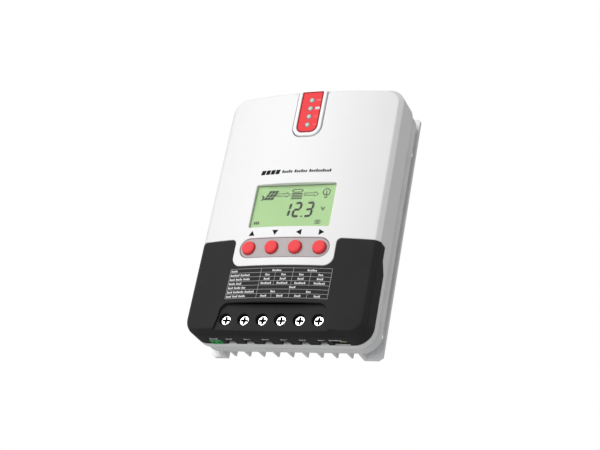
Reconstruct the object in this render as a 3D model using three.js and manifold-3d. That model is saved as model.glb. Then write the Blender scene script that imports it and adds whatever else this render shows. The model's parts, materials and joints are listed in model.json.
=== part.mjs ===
// Wall-mounted solar charge controller: a two-tone plastic housing on a finned,
// die-cast heat sink, with its display, keys, terminals and circuit boards.
//
// Millimetres. The origin is the middle of the wall plane: X runs to the right as
// the front is faced, Y runs into the wall (the front looks along -Y) and Z is up.
import * as THREE from "three";
import { mergeVertices } from "three/addons/utils/BufferGeometryUtils.js";
import Module from "manifold-3d";

const wasm = await Module();
wasm.setup();

// ---------------------------------------------------------------- dimensions
// Housing (the two covers share one outer body)
const HOUSING_HALF_W = 85;
const HOUSING_HALF_H = 120.5;
const HOUSING_CORNER = 16;
const BEVEL = 4;
const WALL = 2.2;
const FRONT_WALL = 2.5;
const FRONT_Y = -64.5; // front surface on the centre line
const CROWN = 8; // how far the front falls back at its left and right edges
const BEVEL_Y = FRONT_Y + CROWN + BEVEL; // where the bevel meets the side walls
const SEAM_GAP = 0.3;
const SMALL_GAP = 0.3;
const TERMINAL_COVER_INSET = 0.5;

// Levels behind the front
const LEDGE_Y = -28; // front edge of the heat sink's tray
const HOUSING_REAR_Y = LEDGE_Y - 0.2; // rear edge of the housing, on that ledge
const TERMINAL_COVER_REAR_Y = -35.2;
const SHOULDER_REAR_Y = -41.6; // rear edge of the terminal cover's two shoulders
const OPENING_REAR_Y = -55; // the front wall's openings are cut back to here
const TRAY_FLOOR_Y = -18.5;
const TRAY_BACK_Y = -13.5;
const TRAY_WALL = 3.5;

// Parting line between the two covers
const SHOULDER_Z = -32;
const SHOULDER_RADIUS = 4.5;
const TAB_HALF_W = 48;
const TAB_BOTTOM_Z = -58.6;
const TAB_RADIUS = 9;
const SHOULDER_LOW_Z = -45; // the shoulder's rear edge is level down to here
const RAMP_LOW_Z = -56; // and has dropped to the cover's rear edge here

// Heat sink
const SINK_HALF_W = 84;
const SINK_HALF_H = 118.7;
const SINK_CORNER = 16;
const GROOVE_DEPTH = 1.1;
const LIP_Y = -21.5; // front of the rear lip
const LIP_EDGE = 1;
const FLANGE_HALF_W = 82.4;
const FLANGE_HALF_H = 119.6;
const FLANGE_THICK = 3;
const FLANGE_CHAMFER = 4;
const RAIL_INNER = 65;
const RAIL_THICK = 3.5;
const FIN_COUNT = 9;
const FIN_PITCH = 14;
const FIN_CENTRE_X = -1.5;
const FIN_ROOT = 3;
const FIN_TIP = 2;
const FIN_HALF_H = 118.2;
const FIN_TIP_Y = -1.5;

// Keyhole slots in the flanges
const HOLE_PATTERN_W = 150;
const HOLE_PATTERN_H = 180;
const KEYHOLE_HEAD_R = 4.6;
const KEYHOLE_SLOT_W = 5;
const KEYHOLE_SLOT_RISE = 8;

// Indicator strip
const STRIP_HALF_W = 13.8;
const STRIP_TOP_Z = 116.1;
const STRIP_BOTTOM_Z = 69.9;
const STRIP_RADIUS = 9.5;
const LABEL_HALF_W = 9.9;
const LABEL_BOTTOM_Z = 73.9;
const LABEL_RADIUS = 6.5;
const LIGHT_R = 2.5;
const LIGHT_TOP_Z = 107.3;
const LIGHT_PITCH = 8.6;
const LIGHT_COUNT = 4;
const BEZEL_FRONT_Y = -65.3;
const BEZEL_REAR_Y = -62;
const LABEL_FRONT_Y = -64.8;
const LABEL_REAR_Y = -62.6;
const LED_BOARD_HALF_W = 7;
const LED_BOARD_FRONT_Y = -59.2;
const LED_BOARD_THICK = 1.2;
const LED_BOARD_LOW_Z = 76;
const LED_BOARD_TOP_Z = 113;

// Display
const LCD_HALF_W = 38.6;
const LCD_TOP_Z = 21.8;
const LCD_BOTTOM_Z = -21;
const LCD_CORNER = 1.5;
const LCD_WINDOW_Y = -61.4;
const LCD_WINDOW_THICK = 1;
const LCD_PANEL_THICK = 2.5;

// Keypad
const KEYPAD_Z = -41.4;
const KEYPAD_HALF_W = 42.4;
const KEYPAD_HALF_H = 9.3;
const KEY_PITCH = 22.4;
const KEY_NAMES = ["up", "down", "left", "right"];
const KEY_R = 6;
const KEY_PROUD = 2.3;
const KEY_CLEARANCE = 0.35;
const KEY_FLANGE_R = 7;
const KEYPAD_SINK = 0.5; // the keypad plate lies this far below the front surface
const KEYPAD_REAR = 2.4; // and its back this far
const KEY_STEM_R = 1.8;
const KEY_STEM_END_Y = -57.9;
const SWITCH_TOP_Y = -56.9;

// Terminals
const TERMINAL_COUNT = 6;
const TERMINAL_PITCH = 17.4;
const TERMINAL_CENTRE_X = -1;
const TERMINAL_Z = -107.3;
const POCKET_FLOOR_Y = -59;
const POCKET_TOP_Z = -93.2;
const POCKET_TOP_HALF_W = 50.5;
const POCKET_BOTTOM_HALF_W = 54;
const POCKET_CORNER = 8;
const POCKET_WALL = 2;
const SCREW_HOLE_R = 5.5;
const SCREW_HEAD_R = 4.4;
const SCREW_HEAD_Y = -55.9;
const SCREW_HEAD_THICK = 2.8;
const SCREW_SHAFT_R = 2.2;
const SCREW_END_Y = -42.8;
const CROSS_SLOT_HALF_W = 0.65;
const CROSS_SLOT_REACH = 3.1;
const CROSS_SLOT_DEEP = 1.7;
const CLAMP_WIRE_Y = -38.9; // centre of the wire's way in
const WIRE_ENTRY_HALF_W = 4.3;
const WIRE_ENTRY_R = 4.2;
const CHAMBER_HALF_W = 5.8;
const CHAMBER_TOP_Z = -101.2;
const CLAMP_HALF = 4.8;
const CLAMP_FRONT_Y = -45.1;
const CLAMP_REAR_Y = -33.6;
const CLAMP_WAY_HALF_W = 3.4;
const CLAMP_WAY_FRONT_Y = -42.4;
const CLAMP_WAY_REAR_Y = -35.4;
const TERMINAL_BLOCK_FRONT_Y = -56.2;
const TERMINAL_BLOCK_REAR_Y = -28.6;
const TERMINAL_BLOCK_TOP_Z = -99.5;
const TERMINAL_BLOCK_END_WALL = 1.6;
const CHAMBER_FRONT_Y = -49.6;
const CHAMBER_REAR_Y = -30.5;
const BLOCK_SCREW_CLEARANCE = 0.4;

// Sockets beside the terminals
const PLUG_X = -58.8;
const PLUG_HALF_W = 5.6;
const PLUG_FRONT_Y = -43.3;
const PLUG_REAR_Y = -34.9;
const PLUG_TOP_Z = -112.2;
const PLUG_LOW_Z = -120.6;
const PLUG_OPENING_Y = [-43.8, -34.2];
const PLUG_POLE_HALF = 1.7;
const PLUG_SCREW_Z = -117;
const PLUG_WIRE_Y = [-40.4, -36.6];
const PLUG_WIRE_TOP_Z = -116;
const TEMP_SOCKET_TOP_Z = -102;
const SERIAL_X = 59;
const SERIAL_HALF_W = 6.5;
const SERIAL_WAY_HALF_W = 5.2;
const SERIAL_OPENING_Y = [-44.8, -34];
const SERIAL_FRONT_Y = -44.3;
const SERIAL_LOW_Z = -117.8;
const SERIAL_TOP_Z = -103;
const SERIAL_WAY_Y = [-43, -35];
const SERIAL_WAY_TOP_Z = -106;
const CONTACTS_HALF_W = 3.2;
const CONTACTS_FRONT_Y = -37.8;
const CONTACTS_LOW_Z = -117.4;

// Boards
const BOARD_THICK = 1.6;
const MAIN_BOARD_X = [-62, 66.5];
const MAIN_BOARD_Z = [-112, 108];
const DISPLAY_BOARD_HALF_W = 50;
const DISPLAY_BOARD_Z = [-56, 28];
const INDUCTOR_PLACES = [[-34, 62], [18, 62]];
const CAPACITOR_X = [-40, -14, 12];
const CAPACITOR_Z = -62;
const STANDOFF_PLACES = [[-56, 90], [56, 90], [-56, -75], [56, -75]];
const STANDOFF_R = 3;
const MAIN_BOARD_Y = -27; // component side
const DISPLAY_BOARD_Y = -53.5; // component side
const POWER_X = 71; // the power transistors stand on the tray's floor beside the main board

// Cover screws and their bosses stand in gaps between fins
const BOSS_X = [-50.5, 47.5];
const BOSS_UPPER_Z = 100;
const BOSS_LOWER_Z = -88;
const BOSS_R = 4;
const BOSS_PILOT_R = 1.5;
const BOSS_PILOT_FRONT_Y = -32;
const SCREW_CLEARANCE_R = 1.8;
const DISPLAY_POST_X = 43.8;
const DISPLAY_POST_Z = [24, -50.5];
const DISPLAY_POST_R = 2.6;
const OVERLAP = 0.8; // how far joined solids reach into each other

// ---------------------------------------------------------------- finishes
const finish = (color, roughness, metalness = 0) => ({ color, roughness, metalness });
const FINISH = {
  castAluminium: finish(0xb4b5b7, 0.42, 0.85),
  whitePlastic: finish(0xf1f1f2, 0.38),
  blackPlastic: finish(0x2b2b2c, 0.5),
  redPlastic: finish(0xf0424a, 0.35),
  greyMembrane: finish(0xb9b4b4, 0.5),
  lightPipe: finish(0xb4c3bd, 0.15),
  clearWindow: finish(0xdfe6df, 0.08),
  lcdGreen: finish(0xb2d898, 0.3),
  boardGreen: finish(0x1e5a38, 0.55),
  steel: finish(0xc9cbcd, 0.25, 1),
  brass: finish(0xb59a55, 0.35, 1),
  nylonBlack: finish(0x1c1c1e, 0.6),
  nylonGreen: finish(0x1f9a45, 0.45),
  nylonBeige: finish(0xb7ab8e, 0.55),
  ferrite: finish(0x4a4d50, 0.7),
  capacitor: finish(0x22252b, 0.4),
  padGrey: finish(0x8f959c, 0.8),
  ribbonGrey: finish(0xb9bcc0, 0.6),
};

// ---------------------------------------------------------------- solids
function toSolid(geometry) {
  const bare = geometry.clone();
  bare.deleteAttribute("normal");
  bare.deleteAttribute("uv");
  const merged = mergeVertices(bare, 1e-4);
  const mesh = new wasm.Mesh({
    numProp: 3,
    vertProperties: new Float32Array(merged.attributes.position.array),
    triVerts: new Uint32Array(merged.index.array),
  });
  mesh.merge();
  return new wasm.Manifold(mesh);
}

function toGeometry(solid) {
  const mesh = solid.getMesh();
  const geometry = new THREE.BufferGeometry();
  geometry.setAttribute("position", new THREE.Float32BufferAttribute(mesh.vertProperties, 3));
  geometry.setIndex(Array.from(mesh.triVerts));
  geometry.computeVertexNormals();
  return geometry;
}

const joined = (solids) => solids.reduce((sum, solid) => sum.add(solid));
const cut = (solid, cutters) => cutters.reduce((rest, cutter) => rest.subtract(cutter), solid);

// A shape drawn in X and Z, as a slab between two depths.
function slab(shape, frontY, rearY, curveSegments = 4) {
  const options = { depth: rearY - frontY, bevelEnabled: false, curveSegments };
  const geometry = new THREE.ExtrudeGeometry(shape, options);
  return toSolid(geometry.rotateX(Math.PI / 2).translate(0, rearY, 0));
}

// A shape drawn in X and Y, as a column between two heights.
function column(shape, lowZ, highZ, curveSegments = 6) {
  const options = { depth: highZ - lowZ, bevelEnabled: false, curveSegments };
  return toSolid(new THREE.ExtrudeGeometry(shape, options).translate(0, 0, lowZ));
}

// A shape drawn in Y and Z, as a beam between two places across the width.
function beam(shape, leftX, rightX, curveSegments = 6) {
  const options = { depth: rightX - leftX, bevelEnabled: false, curveSegments };
  const geometry = new THREE.ExtrudeGeometry(shape, options);
  const turn = new THREE.Matrix4().makeBasis(
    new THREE.Vector3(0, 1, 0),
    new THREE.Vector3(0, 0, 1),
    new THREE.Vector3(1, 0, 0),
  );
  return toSolid(geometry.applyMatrix4(turn).translate(leftX, 0, 0));
}

function block(x0, x1, y0, y1, z0, z1) {
  const geometry = new THREE.BoxGeometry(x1 - x0, y1 - y0, z1 - z0);
  return toSolid(geometry.translate((x0 + x1) / 2, (y0 + y1) / 2, (z0 + z1) / 2));
}

function rod(radius, frontY, rearY, x, z, segments = 14) {
  const geometry = new THREE.CylinderGeometry(radius, radius, rearY - frontY, segments);
  return toSolid(geometry.translate(x, (frontY + rearY) / 2, z));
}

// A body turned about a line along Y; the profile gives [radius, y], axis to axis.
function turned(profile, x, z, segments = 16) {
  const points = profile.map(([radius, y]) => new THREE.Vector2(radius, y));
  return toSolid(new THREE.LatheGeometry(points, segments).translate(x, 0, z));
}

// ---------------------------------------------------------------- outlines
function polygon(points) {
  return new THREE.Shape(points.map(([a, b]) => new THREE.Vector2(a, b)));
}

function roundedBox(x0, x1, z0, z1, radius) {
  const shape = new THREE.Shape();
  shape.moveTo(x0 + radius, z0);
  shape.lineTo(x1 - radius, z0);
  shape.absarc(x1 - radius, z0 + radius, radius, -Math.PI / 2, 0);
  shape.lineTo(x1, z1 - radius);
  shape.absarc(x1 - radius, z1 - radius, radius, 0, Math.PI / 2);
  shape.lineTo(x0 + radius, z1);
  shape.absarc(x0 + radius, z1 - radius, radius, Math.PI / 2, Math.PI);
  shape.lineTo(x0, z0 + radius);
  shape.absarc(x0 + radius, z0 + radius, radius, Math.PI, Math.PI * 1.5);
  return shape;
}

// A tongue: square at the top, rounded at the bottom.
function tongue(halfW, bottomZ, topZ, radius) {
  const shape = new THREE.Shape();
  shape.moveTo(-halfW, topZ);
  shape.lineTo(-halfW, bottomZ + radius);
  shape.absarc(-halfW + radius, bottomZ + radius, radius, Math.PI, Math.PI * 1.5);
  shape.lineTo(halfW - radius, bottomZ);
  shape.absarc(halfW - radius, bottomZ + radius, radius, -Math.PI / 2, 0);
  shape.lineTo(halfW, topZ);
  return shape;
}

const stadium = (halfW, halfH, z) => roundedBox(-halfW, halfW, z - halfH, z + halfH, halfH);
const crownY = (x) => FRONT_Y + CROWN * (x / (HOUSING_HALF_W - BEVEL)) ** 2;

// ---------------------------------------------------------------- housing body
// One closed ring of the housing outline. Each point on the upper half has a partner
// straight below it, so that the crowned front can be closed with straight strips.
function housingRing(halfW, halfH, radius, yAt) {
  const cornerSteps = 4;
  const topSteps = 8;
  const upper = [];
  for (let i = 0; i <= cornerSteps; i += 1) {
    const angle = (Math.PI / 2) * (i / cornerSteps);
    const x = halfW - radius + radius * Math.cos(angle);
    upper.push([x, halfH - radius + radius * Math.sin(angle)]);
  }
  for (let i = 1; i < topSteps; i += 1) {
    upper.push([(halfW - radius) * (1 - (2 * i) / topSteps), halfH]);
  }
  for (let i = cornerSteps; i >= 0; i -= 1) {
    upper.push([-upper[i][0], upper[i][1]]);
  }
  const lower = upper.map(([x, z]) => [x, -z]).reverse();
  return [...upper, ...lower].map(([x, z]) => [x, yAt(x), z]);
}

// The full housing body, set in by sideInset at the walls and frontInset at the front.
function housingBody(sideInset, frontInset, rearY) {
  const halfW = HOUSING_HALF_W - sideInset;
  const halfH = HOUSING_HALF_H - sideInset;
  const radius = HOUSING_CORNER - sideInset;
  const frontRadius = radius - BEVEL;
  const rings = [
    housingRing(halfW, halfH, radius, () => rearY),
    housingRing(halfW, halfH, radius, () => BEVEL_Y + frontInset / 2),
    housingRing(halfW - BEVEL, halfH - BEVEL, frontRadius, (x) => crownY(x) + frontInset),
  ];
  const count = rings[0].length;
  const positions = rings.flat(2);
  const index = [];
  for (let ring = 0; ring + 1 < rings.length; ring += 1) {
    for (let i = 0; i < count; i += 1) {
      const a = ring * count + i;
      const b = ring * count + ((i + 1) % count);
      index.push(a, b, b + count, a, b + count, a + count);
    }
  }
  const strip = (offset, reversed) => {
    for (let i = 0; i + 1 < count / 2; i += 1) {
      const a = offset + i;
      const b = offset + i + 1;
      const c = offset + count - 2 - i;
      const d = offset + count - 1 - i;
      if (reversed) index.push(a, b, c, a, c, d);
      else index.push(a, c, b, a, d, c);
    }
  };
  strip(0, false);
  strip((rings.length - 1) * count, true);
  const geometry = new THREE.BufferGeometry();
  geometry.setAttribute("position", new THREE.Float32BufferAttribute(positions, 3));
  geometry.setIndex(index);
  return toSolid(geometry);
}

// ---------------------------------------------------------------- repeated places
const keyX = KEY_NAMES.map((_, i) => (i - (KEY_NAMES.length - 1) / 2) * KEY_PITCH);
const terminalX = Array.from(
  { length: TERMINAL_COUNT },
  (_, i) => TERMINAL_CENTRE_X + (i - (TERMINAL_COUNT - 1) / 2) * TERMINAL_PITCH,
);
const lightZ = Array.from({ length: LIGHT_COUNT }, (_, i) => LIGHT_TOP_Z - i * LIGHT_PITCH);

const FAR_FRONT_Y = -75;
const FAR_Z = 140;
const FAR_X = 100;

// The space of the terminal cover, up to its parting line with the upper cover.
function terminalCoverSpace(gap) {
  const top = SHOULDER_Z - gap;
  const halfW = TAB_HALF_W + gap;
  const bottom = TAB_BOTTOM_Z - gap;
  const radius = TAB_RADIUS + gap;
  const shoulder = SHOULDER_RADIUS - gap;
  const front = new THREE.Shape();
  front.moveTo(-FAR_X, -FAR_Z);
  front.lineTo(FAR_X, -FAR_Z);
  front.lineTo(FAR_X, top);
  front.lineTo(halfW + shoulder, top);
  front.absarc(halfW + shoulder, top - shoulder, shoulder, Math.PI / 2, Math.PI);
  front.lineTo(halfW, bottom + radius);
  front.absarc(halfW - radius, bottom + radius, radius, 0, -Math.PI / 2, true);
  front.lineTo(-halfW + radius, bottom);
  front.absarc(-halfW + radius, bottom + radius, radius, -Math.PI / 2, -Math.PI, true);
  front.lineTo(-halfW, top - shoulder);
  front.absarc(-halfW - shoulder, top - shoulder, shoulder, 0, Math.PI / 2);
  front.lineTo(-FAR_X, top);
  const side = polygon([
    [FAR_FRONT_Y, -FAR_Z],
    [TERMINAL_COVER_REAR_Y - gap, -FAR_Z],
    [TERMINAL_COVER_REAR_Y - gap, RAMP_LOW_Z],
    [SHOULDER_REAR_Y - gap, SHOULDER_LOW_Z],
    [SHOULDER_REAR_Y - gap, SHOULDER_Z],
    [FAR_FRONT_Y, SHOULDER_Z],
  ]);
  return slab(front, FAR_FRONT_Y, HOUSING_REAR_Y).intersect(beam(side, -FAR_X, FAR_X));
}

const housingInside = housingBody(WALL, FRONT_WALL, HOUSING_REAR_Y + 1);

function boss(x, z) {
  const outer = rod(BOSS_R, crownY(x) + FRONT_WALL - OVERLAP, TRAY_FLOOR_Y - SMALL_GAP, x, z);
  return cut(outer, [rod(BOSS_PILOT_R, BOSS_PILOT_FRONT_Y, TRAY_FLOOR_Y + 1, x, z, 12)]);
}

// Wire, plug and serial openings through the bottom end of the housing.
function endOpenings() {
  const lowZ = -HOUSING_HALF_H - 2;
  const highZ = -HOUSING_HALF_H + WALL + 1.2;
  const wires = terminalX.map((x) => {
    const front = CLAMP_WIRE_Y - WIRE_ENTRY_HALF_W;
    const rear = CLAMP_WIRE_Y + WIRE_ENTRY_HALF_W;
    const hole = roundedBox(x - WIRE_ENTRY_HALF_W, x + WIRE_ENTRY_HALF_W, front, rear, WIRE_ENTRY_R);
    return column(hole, lowZ, highZ, 4);
  });
  const plugHalf = PLUG_HALF_W + 0.5;
  const plug = block(PLUG_X - plugHalf, PLUG_X + plugHalf, ...PLUG_OPENING_Y, lowZ, highZ);
  const serialHalf = SERIAL_HALF_W + 0.8;
  const serialX = [SERIAL_X - serialHalf, SERIAL_X + serialHalf];
  const serial = block(...serialX, ...SERIAL_OPENING_Y, lowZ, highZ);
  return [...wires, plug, serial];
}

// ---------------------------------------------------------------- sub-parts
// A flat plate of the heat sink's outline, set in by inset all round.
function sinkPlate(inset, frontY, rearY) {
  const halfW = SINK_HALF_W - inset;
  const halfH = SINK_HALF_H - inset;
  return slab(roundedBox(-halfW, halfW, -halfH, halfH, SINK_CORNER - inset), frontY, rearY);
}

function keyhole(x, z) {
  const half = KEYHOLE_SLOT_W / 2;
  const headZ = z - KEYHOLE_SLOT_RISE;
  const slot = roundedBox(x - half, x + half, headZ, z + half, half - 0.01);
  return slab(slot, -FLANGE_THICK - 1, 1).add(rod(KEYHOLE_HEAD_R, -FLANGE_THICK - 1, 1, x, headZ));
}

function heatSink() {
  const lip = joined([
    sinkPlate(0, LIP_Y + LIP_EDGE, TRAY_BACK_Y - LIP_EDGE),
    sinkPlate(LIP_EDGE, LIP_Y, TRAY_BACK_Y),
  ]);
  const wall = sinkPlate(GROOVE_DEPTH, LEDGE_Y, TRAY_FLOOR_Y);
  const inside = sinkPlate(GROOVE_DEPTH + TRAY_WALL, LEDGE_Y - 1, TRAY_FLOOR_Y);
  const fins = Array.from({ length: FIN_COUNT }, (_, i) => {
    const x = FIN_CENTRE_X + (i - (FIN_COUNT - 1) / 2) * FIN_PITCH;
    const root = TRAY_BACK_Y - 1;
    const section = polygon([
      [x - FIN_ROOT / 2, root],
      [x + FIN_ROOT / 2, root],
      [x + FIN_TIP / 2, FIN_TIP_Y],
      [x - FIN_TIP / 2, FIN_TIP_Y],
    ]);
    return column(section, -FIN_HALF_H, FIN_HALF_H);
  });
  const sides = [-1, 1].flatMap((side) => {
    const across = (a, b) => [Math.min(side * a, side * b), Math.max(side * a, side * b)];
    const [railLow, railHigh] = across(RAIL_INNER, RAIL_INNER + RAIL_THICK);
    const rail = block(railLow, railHigh, TRAY_BACK_Y - 1, 0, -FLANGE_HALF_H, FLANGE_HALF_H);
    const outline = polygon([
      [side * (RAIL_INNER + 1), -FLANGE_HALF_H],
      [side * (FLANGE_HALF_W - FLANGE_CHAMFER), -FLANGE_HALF_H],
      [side * FLANGE_HALF_W, -FLANGE_HALF_H + FLANGE_CHAMFER - 1],
      [side * FLANGE_HALF_W, FLANGE_HALF_H - 2],
      [side * (FLANGE_HALF_W - 2), FLANGE_HALF_H],
      [side * (RAIL_INNER + 1), FLANGE_HALF_H],
    ]);
    return [rail, slab(outline, -FLANGE_THICK, 0)];
  });
  const keyholes = [-1, 1].flatMap((side) => [-1, 1].map((end) => {
    return keyhole((side * HOLE_PATTERN_W) / 2, (end * HOLE_PATTERN_H) / 2);
  }));
  const screwHoles = BOSS_X.flatMap((x) => [BOSS_UPPER_Z, BOSS_LOWER_Z].map((z) => {
    return rod(SCREW_CLEARANCE_R, TRAY_FLOOR_Y - 1, TRAY_BACK_Y + 1, x, z);
  }));
  const tray = cut(joined([lip, wall]), [inside]);
  return cut(joined([tray, ...fins, ...sides]), [...keyholes, ...screwHoles]);
}

function upperCover() {
  const shell = housingBody(0, 0, HOUSING_REAR_Y).subtract(housingInside);
  const stripBottom = STRIP_BOTTOM_Z - SEAM_GAP;
  const frontOpenings = [
    tongue(STRIP_HALF_W + SEAM_GAP, stripBottom, STRIP_TOP_Z + SEAM_GAP, STRIP_RADIUS + SEAM_GAP),
    roundedBox(-LCD_HALF_W, LCD_HALF_W, LCD_BOTTOM_Z, LCD_TOP_Z, LCD_CORNER),
    stadium(KEYPAD_HALF_W + SEAM_GAP, KEYPAD_HALF_H + SEAM_GAP, KEYPAD_Z),
  ].map((outline) => slab(outline, FAR_FRONT_Y, OPENING_REAR_Y));
  const bosses = BOSS_X.map((x) => boss(x, BOSS_UPPER_Z));
  const postFront = crownY(DISPLAY_POST_X) + FRONT_WALL - OVERLAP;
  const displayPosts = [-1, 1].flatMap((side) => DISPLAY_POST_Z.map((z) => {
    const x = side * DISPLAY_POST_X;
    return rod(DISPLAY_POST_R, postFront, DISPLAY_BOARD_Y - SMALL_GAP, x, z);
  }));
  const skin = cut(shell, [terminalCoverSpace(0), ...frontOpenings, ...endOpenings()]);
  return joined([skin, ...bosses, ...displayPosts]);
}

// The recess over the terminal screws: a straight-sided tongue, wider at the bottom.
function pocketOutline(grow) {
  const top = POCKET_TOP_Z + grow;
  const topW = POCKET_TOP_HALF_W + grow;
  const radius = POCKET_CORNER + grow;
  const shape = new THREE.Shape();
  shape.moveTo(-POCKET_BOTTOM_HALF_W - grow, -HOUSING_HALF_H - 2);
  shape.lineTo(POCKET_BOTTOM_HALF_W + grow, -HOUSING_HALF_H - 2);
  shape.lineTo(topW, top - radius);
  shape.absarc(topW - radius, top - radius, radius, 0, Math.PI / 2);
  shape.lineTo(-topW + radius, top);
  shape.absarc(-topW + radius, top - radius, radius, Math.PI / 2, Math.PI);
  return shape;
}

function terminalCover() {
  const outer = housingBody(TERMINAL_COVER_INSET, 0, TERMINAL_COVER_REAR_Y);
  const floorRear = POCKET_FLOOR_Y + FRONT_WALL;
  const pocketWalls = slab(pocketOutline(POCKET_WALL), FAR_FRONT_Y, floorRear).intersect(outer);
  const shell = outer.subtract(housingInside).intersect(terminalCoverSpace(SEAM_GAP));
  const pocket = slab(pocketOutline(0), FAR_FRONT_Y, POCKET_FLOOR_Y);
  const screwHoles = terminalX.map((x) => {
    return rod(SCREW_HOLE_R, FAR_FRONT_Y, floorRear + 1, x, TERMINAL_Z);
  });
  const bosses = BOSS_X.map((x) => boss(x, BOSS_LOWER_Z));
  return joined([cut(shell.add(pocketWalls), [pocket, ...screwHoles, ...endOpenings()]), ...bosses]);
}

function ledBezel() {
  const outline = tongue(STRIP_HALF_W, STRIP_BOTTOM_Z, STRIP_TOP_Z, STRIP_RADIUS);
  const inner = tongue(
    LABEL_HALF_W + SMALL_GAP,
    LABEL_BOTTOM_Z - SMALL_GAP,
    STRIP_TOP_Z + 1,
    LABEL_RADIUS,
  );
  return slab(outline, BEZEL_FRONT_Y, BEZEL_REAR_Y, 8).subtract(slab(inner, -67, -61, 6));
}

function ledLabel() {
  const outline = tongue(LABEL_HALF_W, LABEL_BOTTOM_Z, STRIP_TOP_Z, LABEL_RADIUS);
  const holes = lightZ.map((z) => rod(LIGHT_R + 0.2, -66, -62, 0, z, 12));
  return cut(slab(outline, LABEL_FRONT_Y, LABEL_REAR_Y, 6), holes);
}

function lightPipe(z) {
  const profile = [
    [0, -65.3],
    [1.9, -65],
    [LIGHT_R, -64.3],
    [LIGHT_R, -62.3],
    [3.4, -62.3],
    [3.4, -61.2],
    [2, -61.2],
    [2, -59.6],
    [0, -59.6],
  ];
  return turned(profile, 0, z, 12);
}

function keypadPlate() {
  const front = housingBody(0, KEYPAD_SINK, HOUSING_REAR_Y);
  const rind = front.subtract(housingBody(0, KEYPAD_REAR, HOUSING_REAR_Y + 1));
  const outline = stadium(KEYPAD_HALF_W, KEYPAD_HALF_H, KEYPAD_Z);
  const plate = slab(outline, FAR_FRONT_Y, OPENING_REAR_Y).intersect(rind);
  const holes = keyX.map((x) => rod(KEY_R + KEY_CLEARANCE, FAR_FRONT_Y, -50, x, KEYPAD_Z, 18));
  return cut(plate, holes);
}

function key(x) {
  const front = crownY(x) - KEY_PROUD;
  const flangeFront = crownY(Math.abs(x) + KEY_FLANGE_R) + KEYPAD_REAR + SMALL_GAP;
  const profile = [
    [0, front],
    [KEY_R * 0.6, front + 0.15],
    [KEY_R * 0.9, front + 0.7],
    [KEY_R, front + 1.8],
    [KEY_R, flangeFront],
    [KEY_FLANGE_R, flangeFront],
    [KEY_FLANGE_R, flangeFront + 1],
    [KEY_STEM_R, flangeFront + 1],
    [KEY_STEM_R, KEY_STEM_END_Y],
    [0, KEY_STEM_END_Y],
  ];
  return turned(profile, x, KEYPAD_Z, 18);
}

function tactSwitch(x) {
  const half = 3;
  const bodyFront = SWITCH_TOP_Y + 0.5;
  const body = block(
    x - half,
    x + half,
    bodyFront,
    DISPLAY_BOARD_Y - 0.1,
    KEYPAD_Z - half,
    KEYPAD_Z + half,
  );
  return body.add(rod(1.6, SWITCH_TOP_Y, bodyFront + 0.4, x, KEYPAD_Z, 12));
}

function terminalBlock() {
  const left = terminalX[0] - CHAMBER_HALF_W - TERMINAL_BLOCK_END_WALL;
  const right = terminalX[TERMINAL_COUNT - 1] + CHAMBER_HALF_W + TERMINAL_BLOCK_END_WALL;
  const lowZ = -HOUSING_HALF_H + WALL + BEVEL - 1;
  const front = TERMINAL_BLOCK_FRONT_Y;
  const headRear = SCREW_HEAD_Y + SCREW_HEAD_THICK + SMALL_GAP;
  const headR = SCREW_HEAD_R + BLOCK_SCREW_CLEARANCE;
  const shaftR = SCREW_SHAFT_R + BLOCK_SCREW_CLEARANCE;
  const body = block(left, right, front, TERMINAL_BLOCK_REAR_Y, lowZ, TERMINAL_BLOCK_TOP_Z);
  const chambers = terminalX.flatMap((x) => {
    const across = [x - CHAMBER_HALF_W, x + CHAMBER_HALF_W];
    return [
      block(...across, CHAMBER_FRONT_Y, CHAMBER_REAR_Y, lowZ - 1, CHAMBER_TOP_Z),
      rod(headR, front - 1, headRear, x, TERMINAL_Z),
      rod(shaftR, headRear - 1, CHAMBER_FRONT_Y + 1, x, TERMINAL_Z),
    ];
  });
  return cut(body, chambers);
}

function terminalScrew(x) {
  const headRear = SCREW_HEAD_Y + SCREW_HEAD_THICK;
  const profile = [
    [0, SCREW_HEAD_Y],
    [SCREW_HEAD_R - 0.9, SCREW_HEAD_Y],
    [SCREW_HEAD_R, SCREW_HEAD_Y + 0.8],
    [SCREW_HEAD_R, headRear],
    [SCREW_SHAFT_R, headRear],
    [SCREW_SHAFT_R, SCREW_END_Y - 0.8],
    [SCREW_SHAFT_R - 0.8, SCREW_END_Y],
    [0, SCREW_END_Y],
  ];
  const slot = (halfW, halfH) => block(
    x - halfW,
    x + halfW,
    SCREW_HEAD_Y - 1,
    SCREW_HEAD_Y + CROSS_SLOT_DEEP,
    TERMINAL_Z - halfH,
    TERMINAL_Z + halfH,
  );
  const across = slot(CROSS_SLOT_REACH, CROSS_SLOT_HALF_W);
  const upright = slot(CROSS_SLOT_HALF_W, CROSS_SLOT_REACH);
  return cut(turned(profile, x, TERMINAL_Z, 14), [across, upright]);
}

// A cage that the screw draws forward to grip the wire in it.
function terminalClamp(x) {
  const cage = block(
    x - CLAMP_HALF,
    x + CLAMP_HALF,
    CLAMP_FRONT_Y,
    CLAMP_REAR_Y,
    TERMINAL_Z - CLAMP_HALF,
    TERMINAL_Z + CLAMP_HALF,
  );
  const wireWay = block(
    x - CLAMP_WAY_HALF_W,
    x + CLAMP_WAY_HALF_W,
    CLAMP_WAY_FRONT_Y,
    CLAMP_WAY_REAR_Y,
    TERMINAL_Z - CLAMP_HALF - 1,
    TERMINAL_Z + CLAMP_HALF + 1,
  );
  const threadR = SCREW_SHAFT_R + SMALL_GAP;
  const thread = rod(threadR, CLAMP_FRONT_Y - 1, CLAMP_WAY_FRONT_Y + 1, x, TERMINAL_Z);
  return cut(cage, [wireWay, thread]);
}

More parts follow.
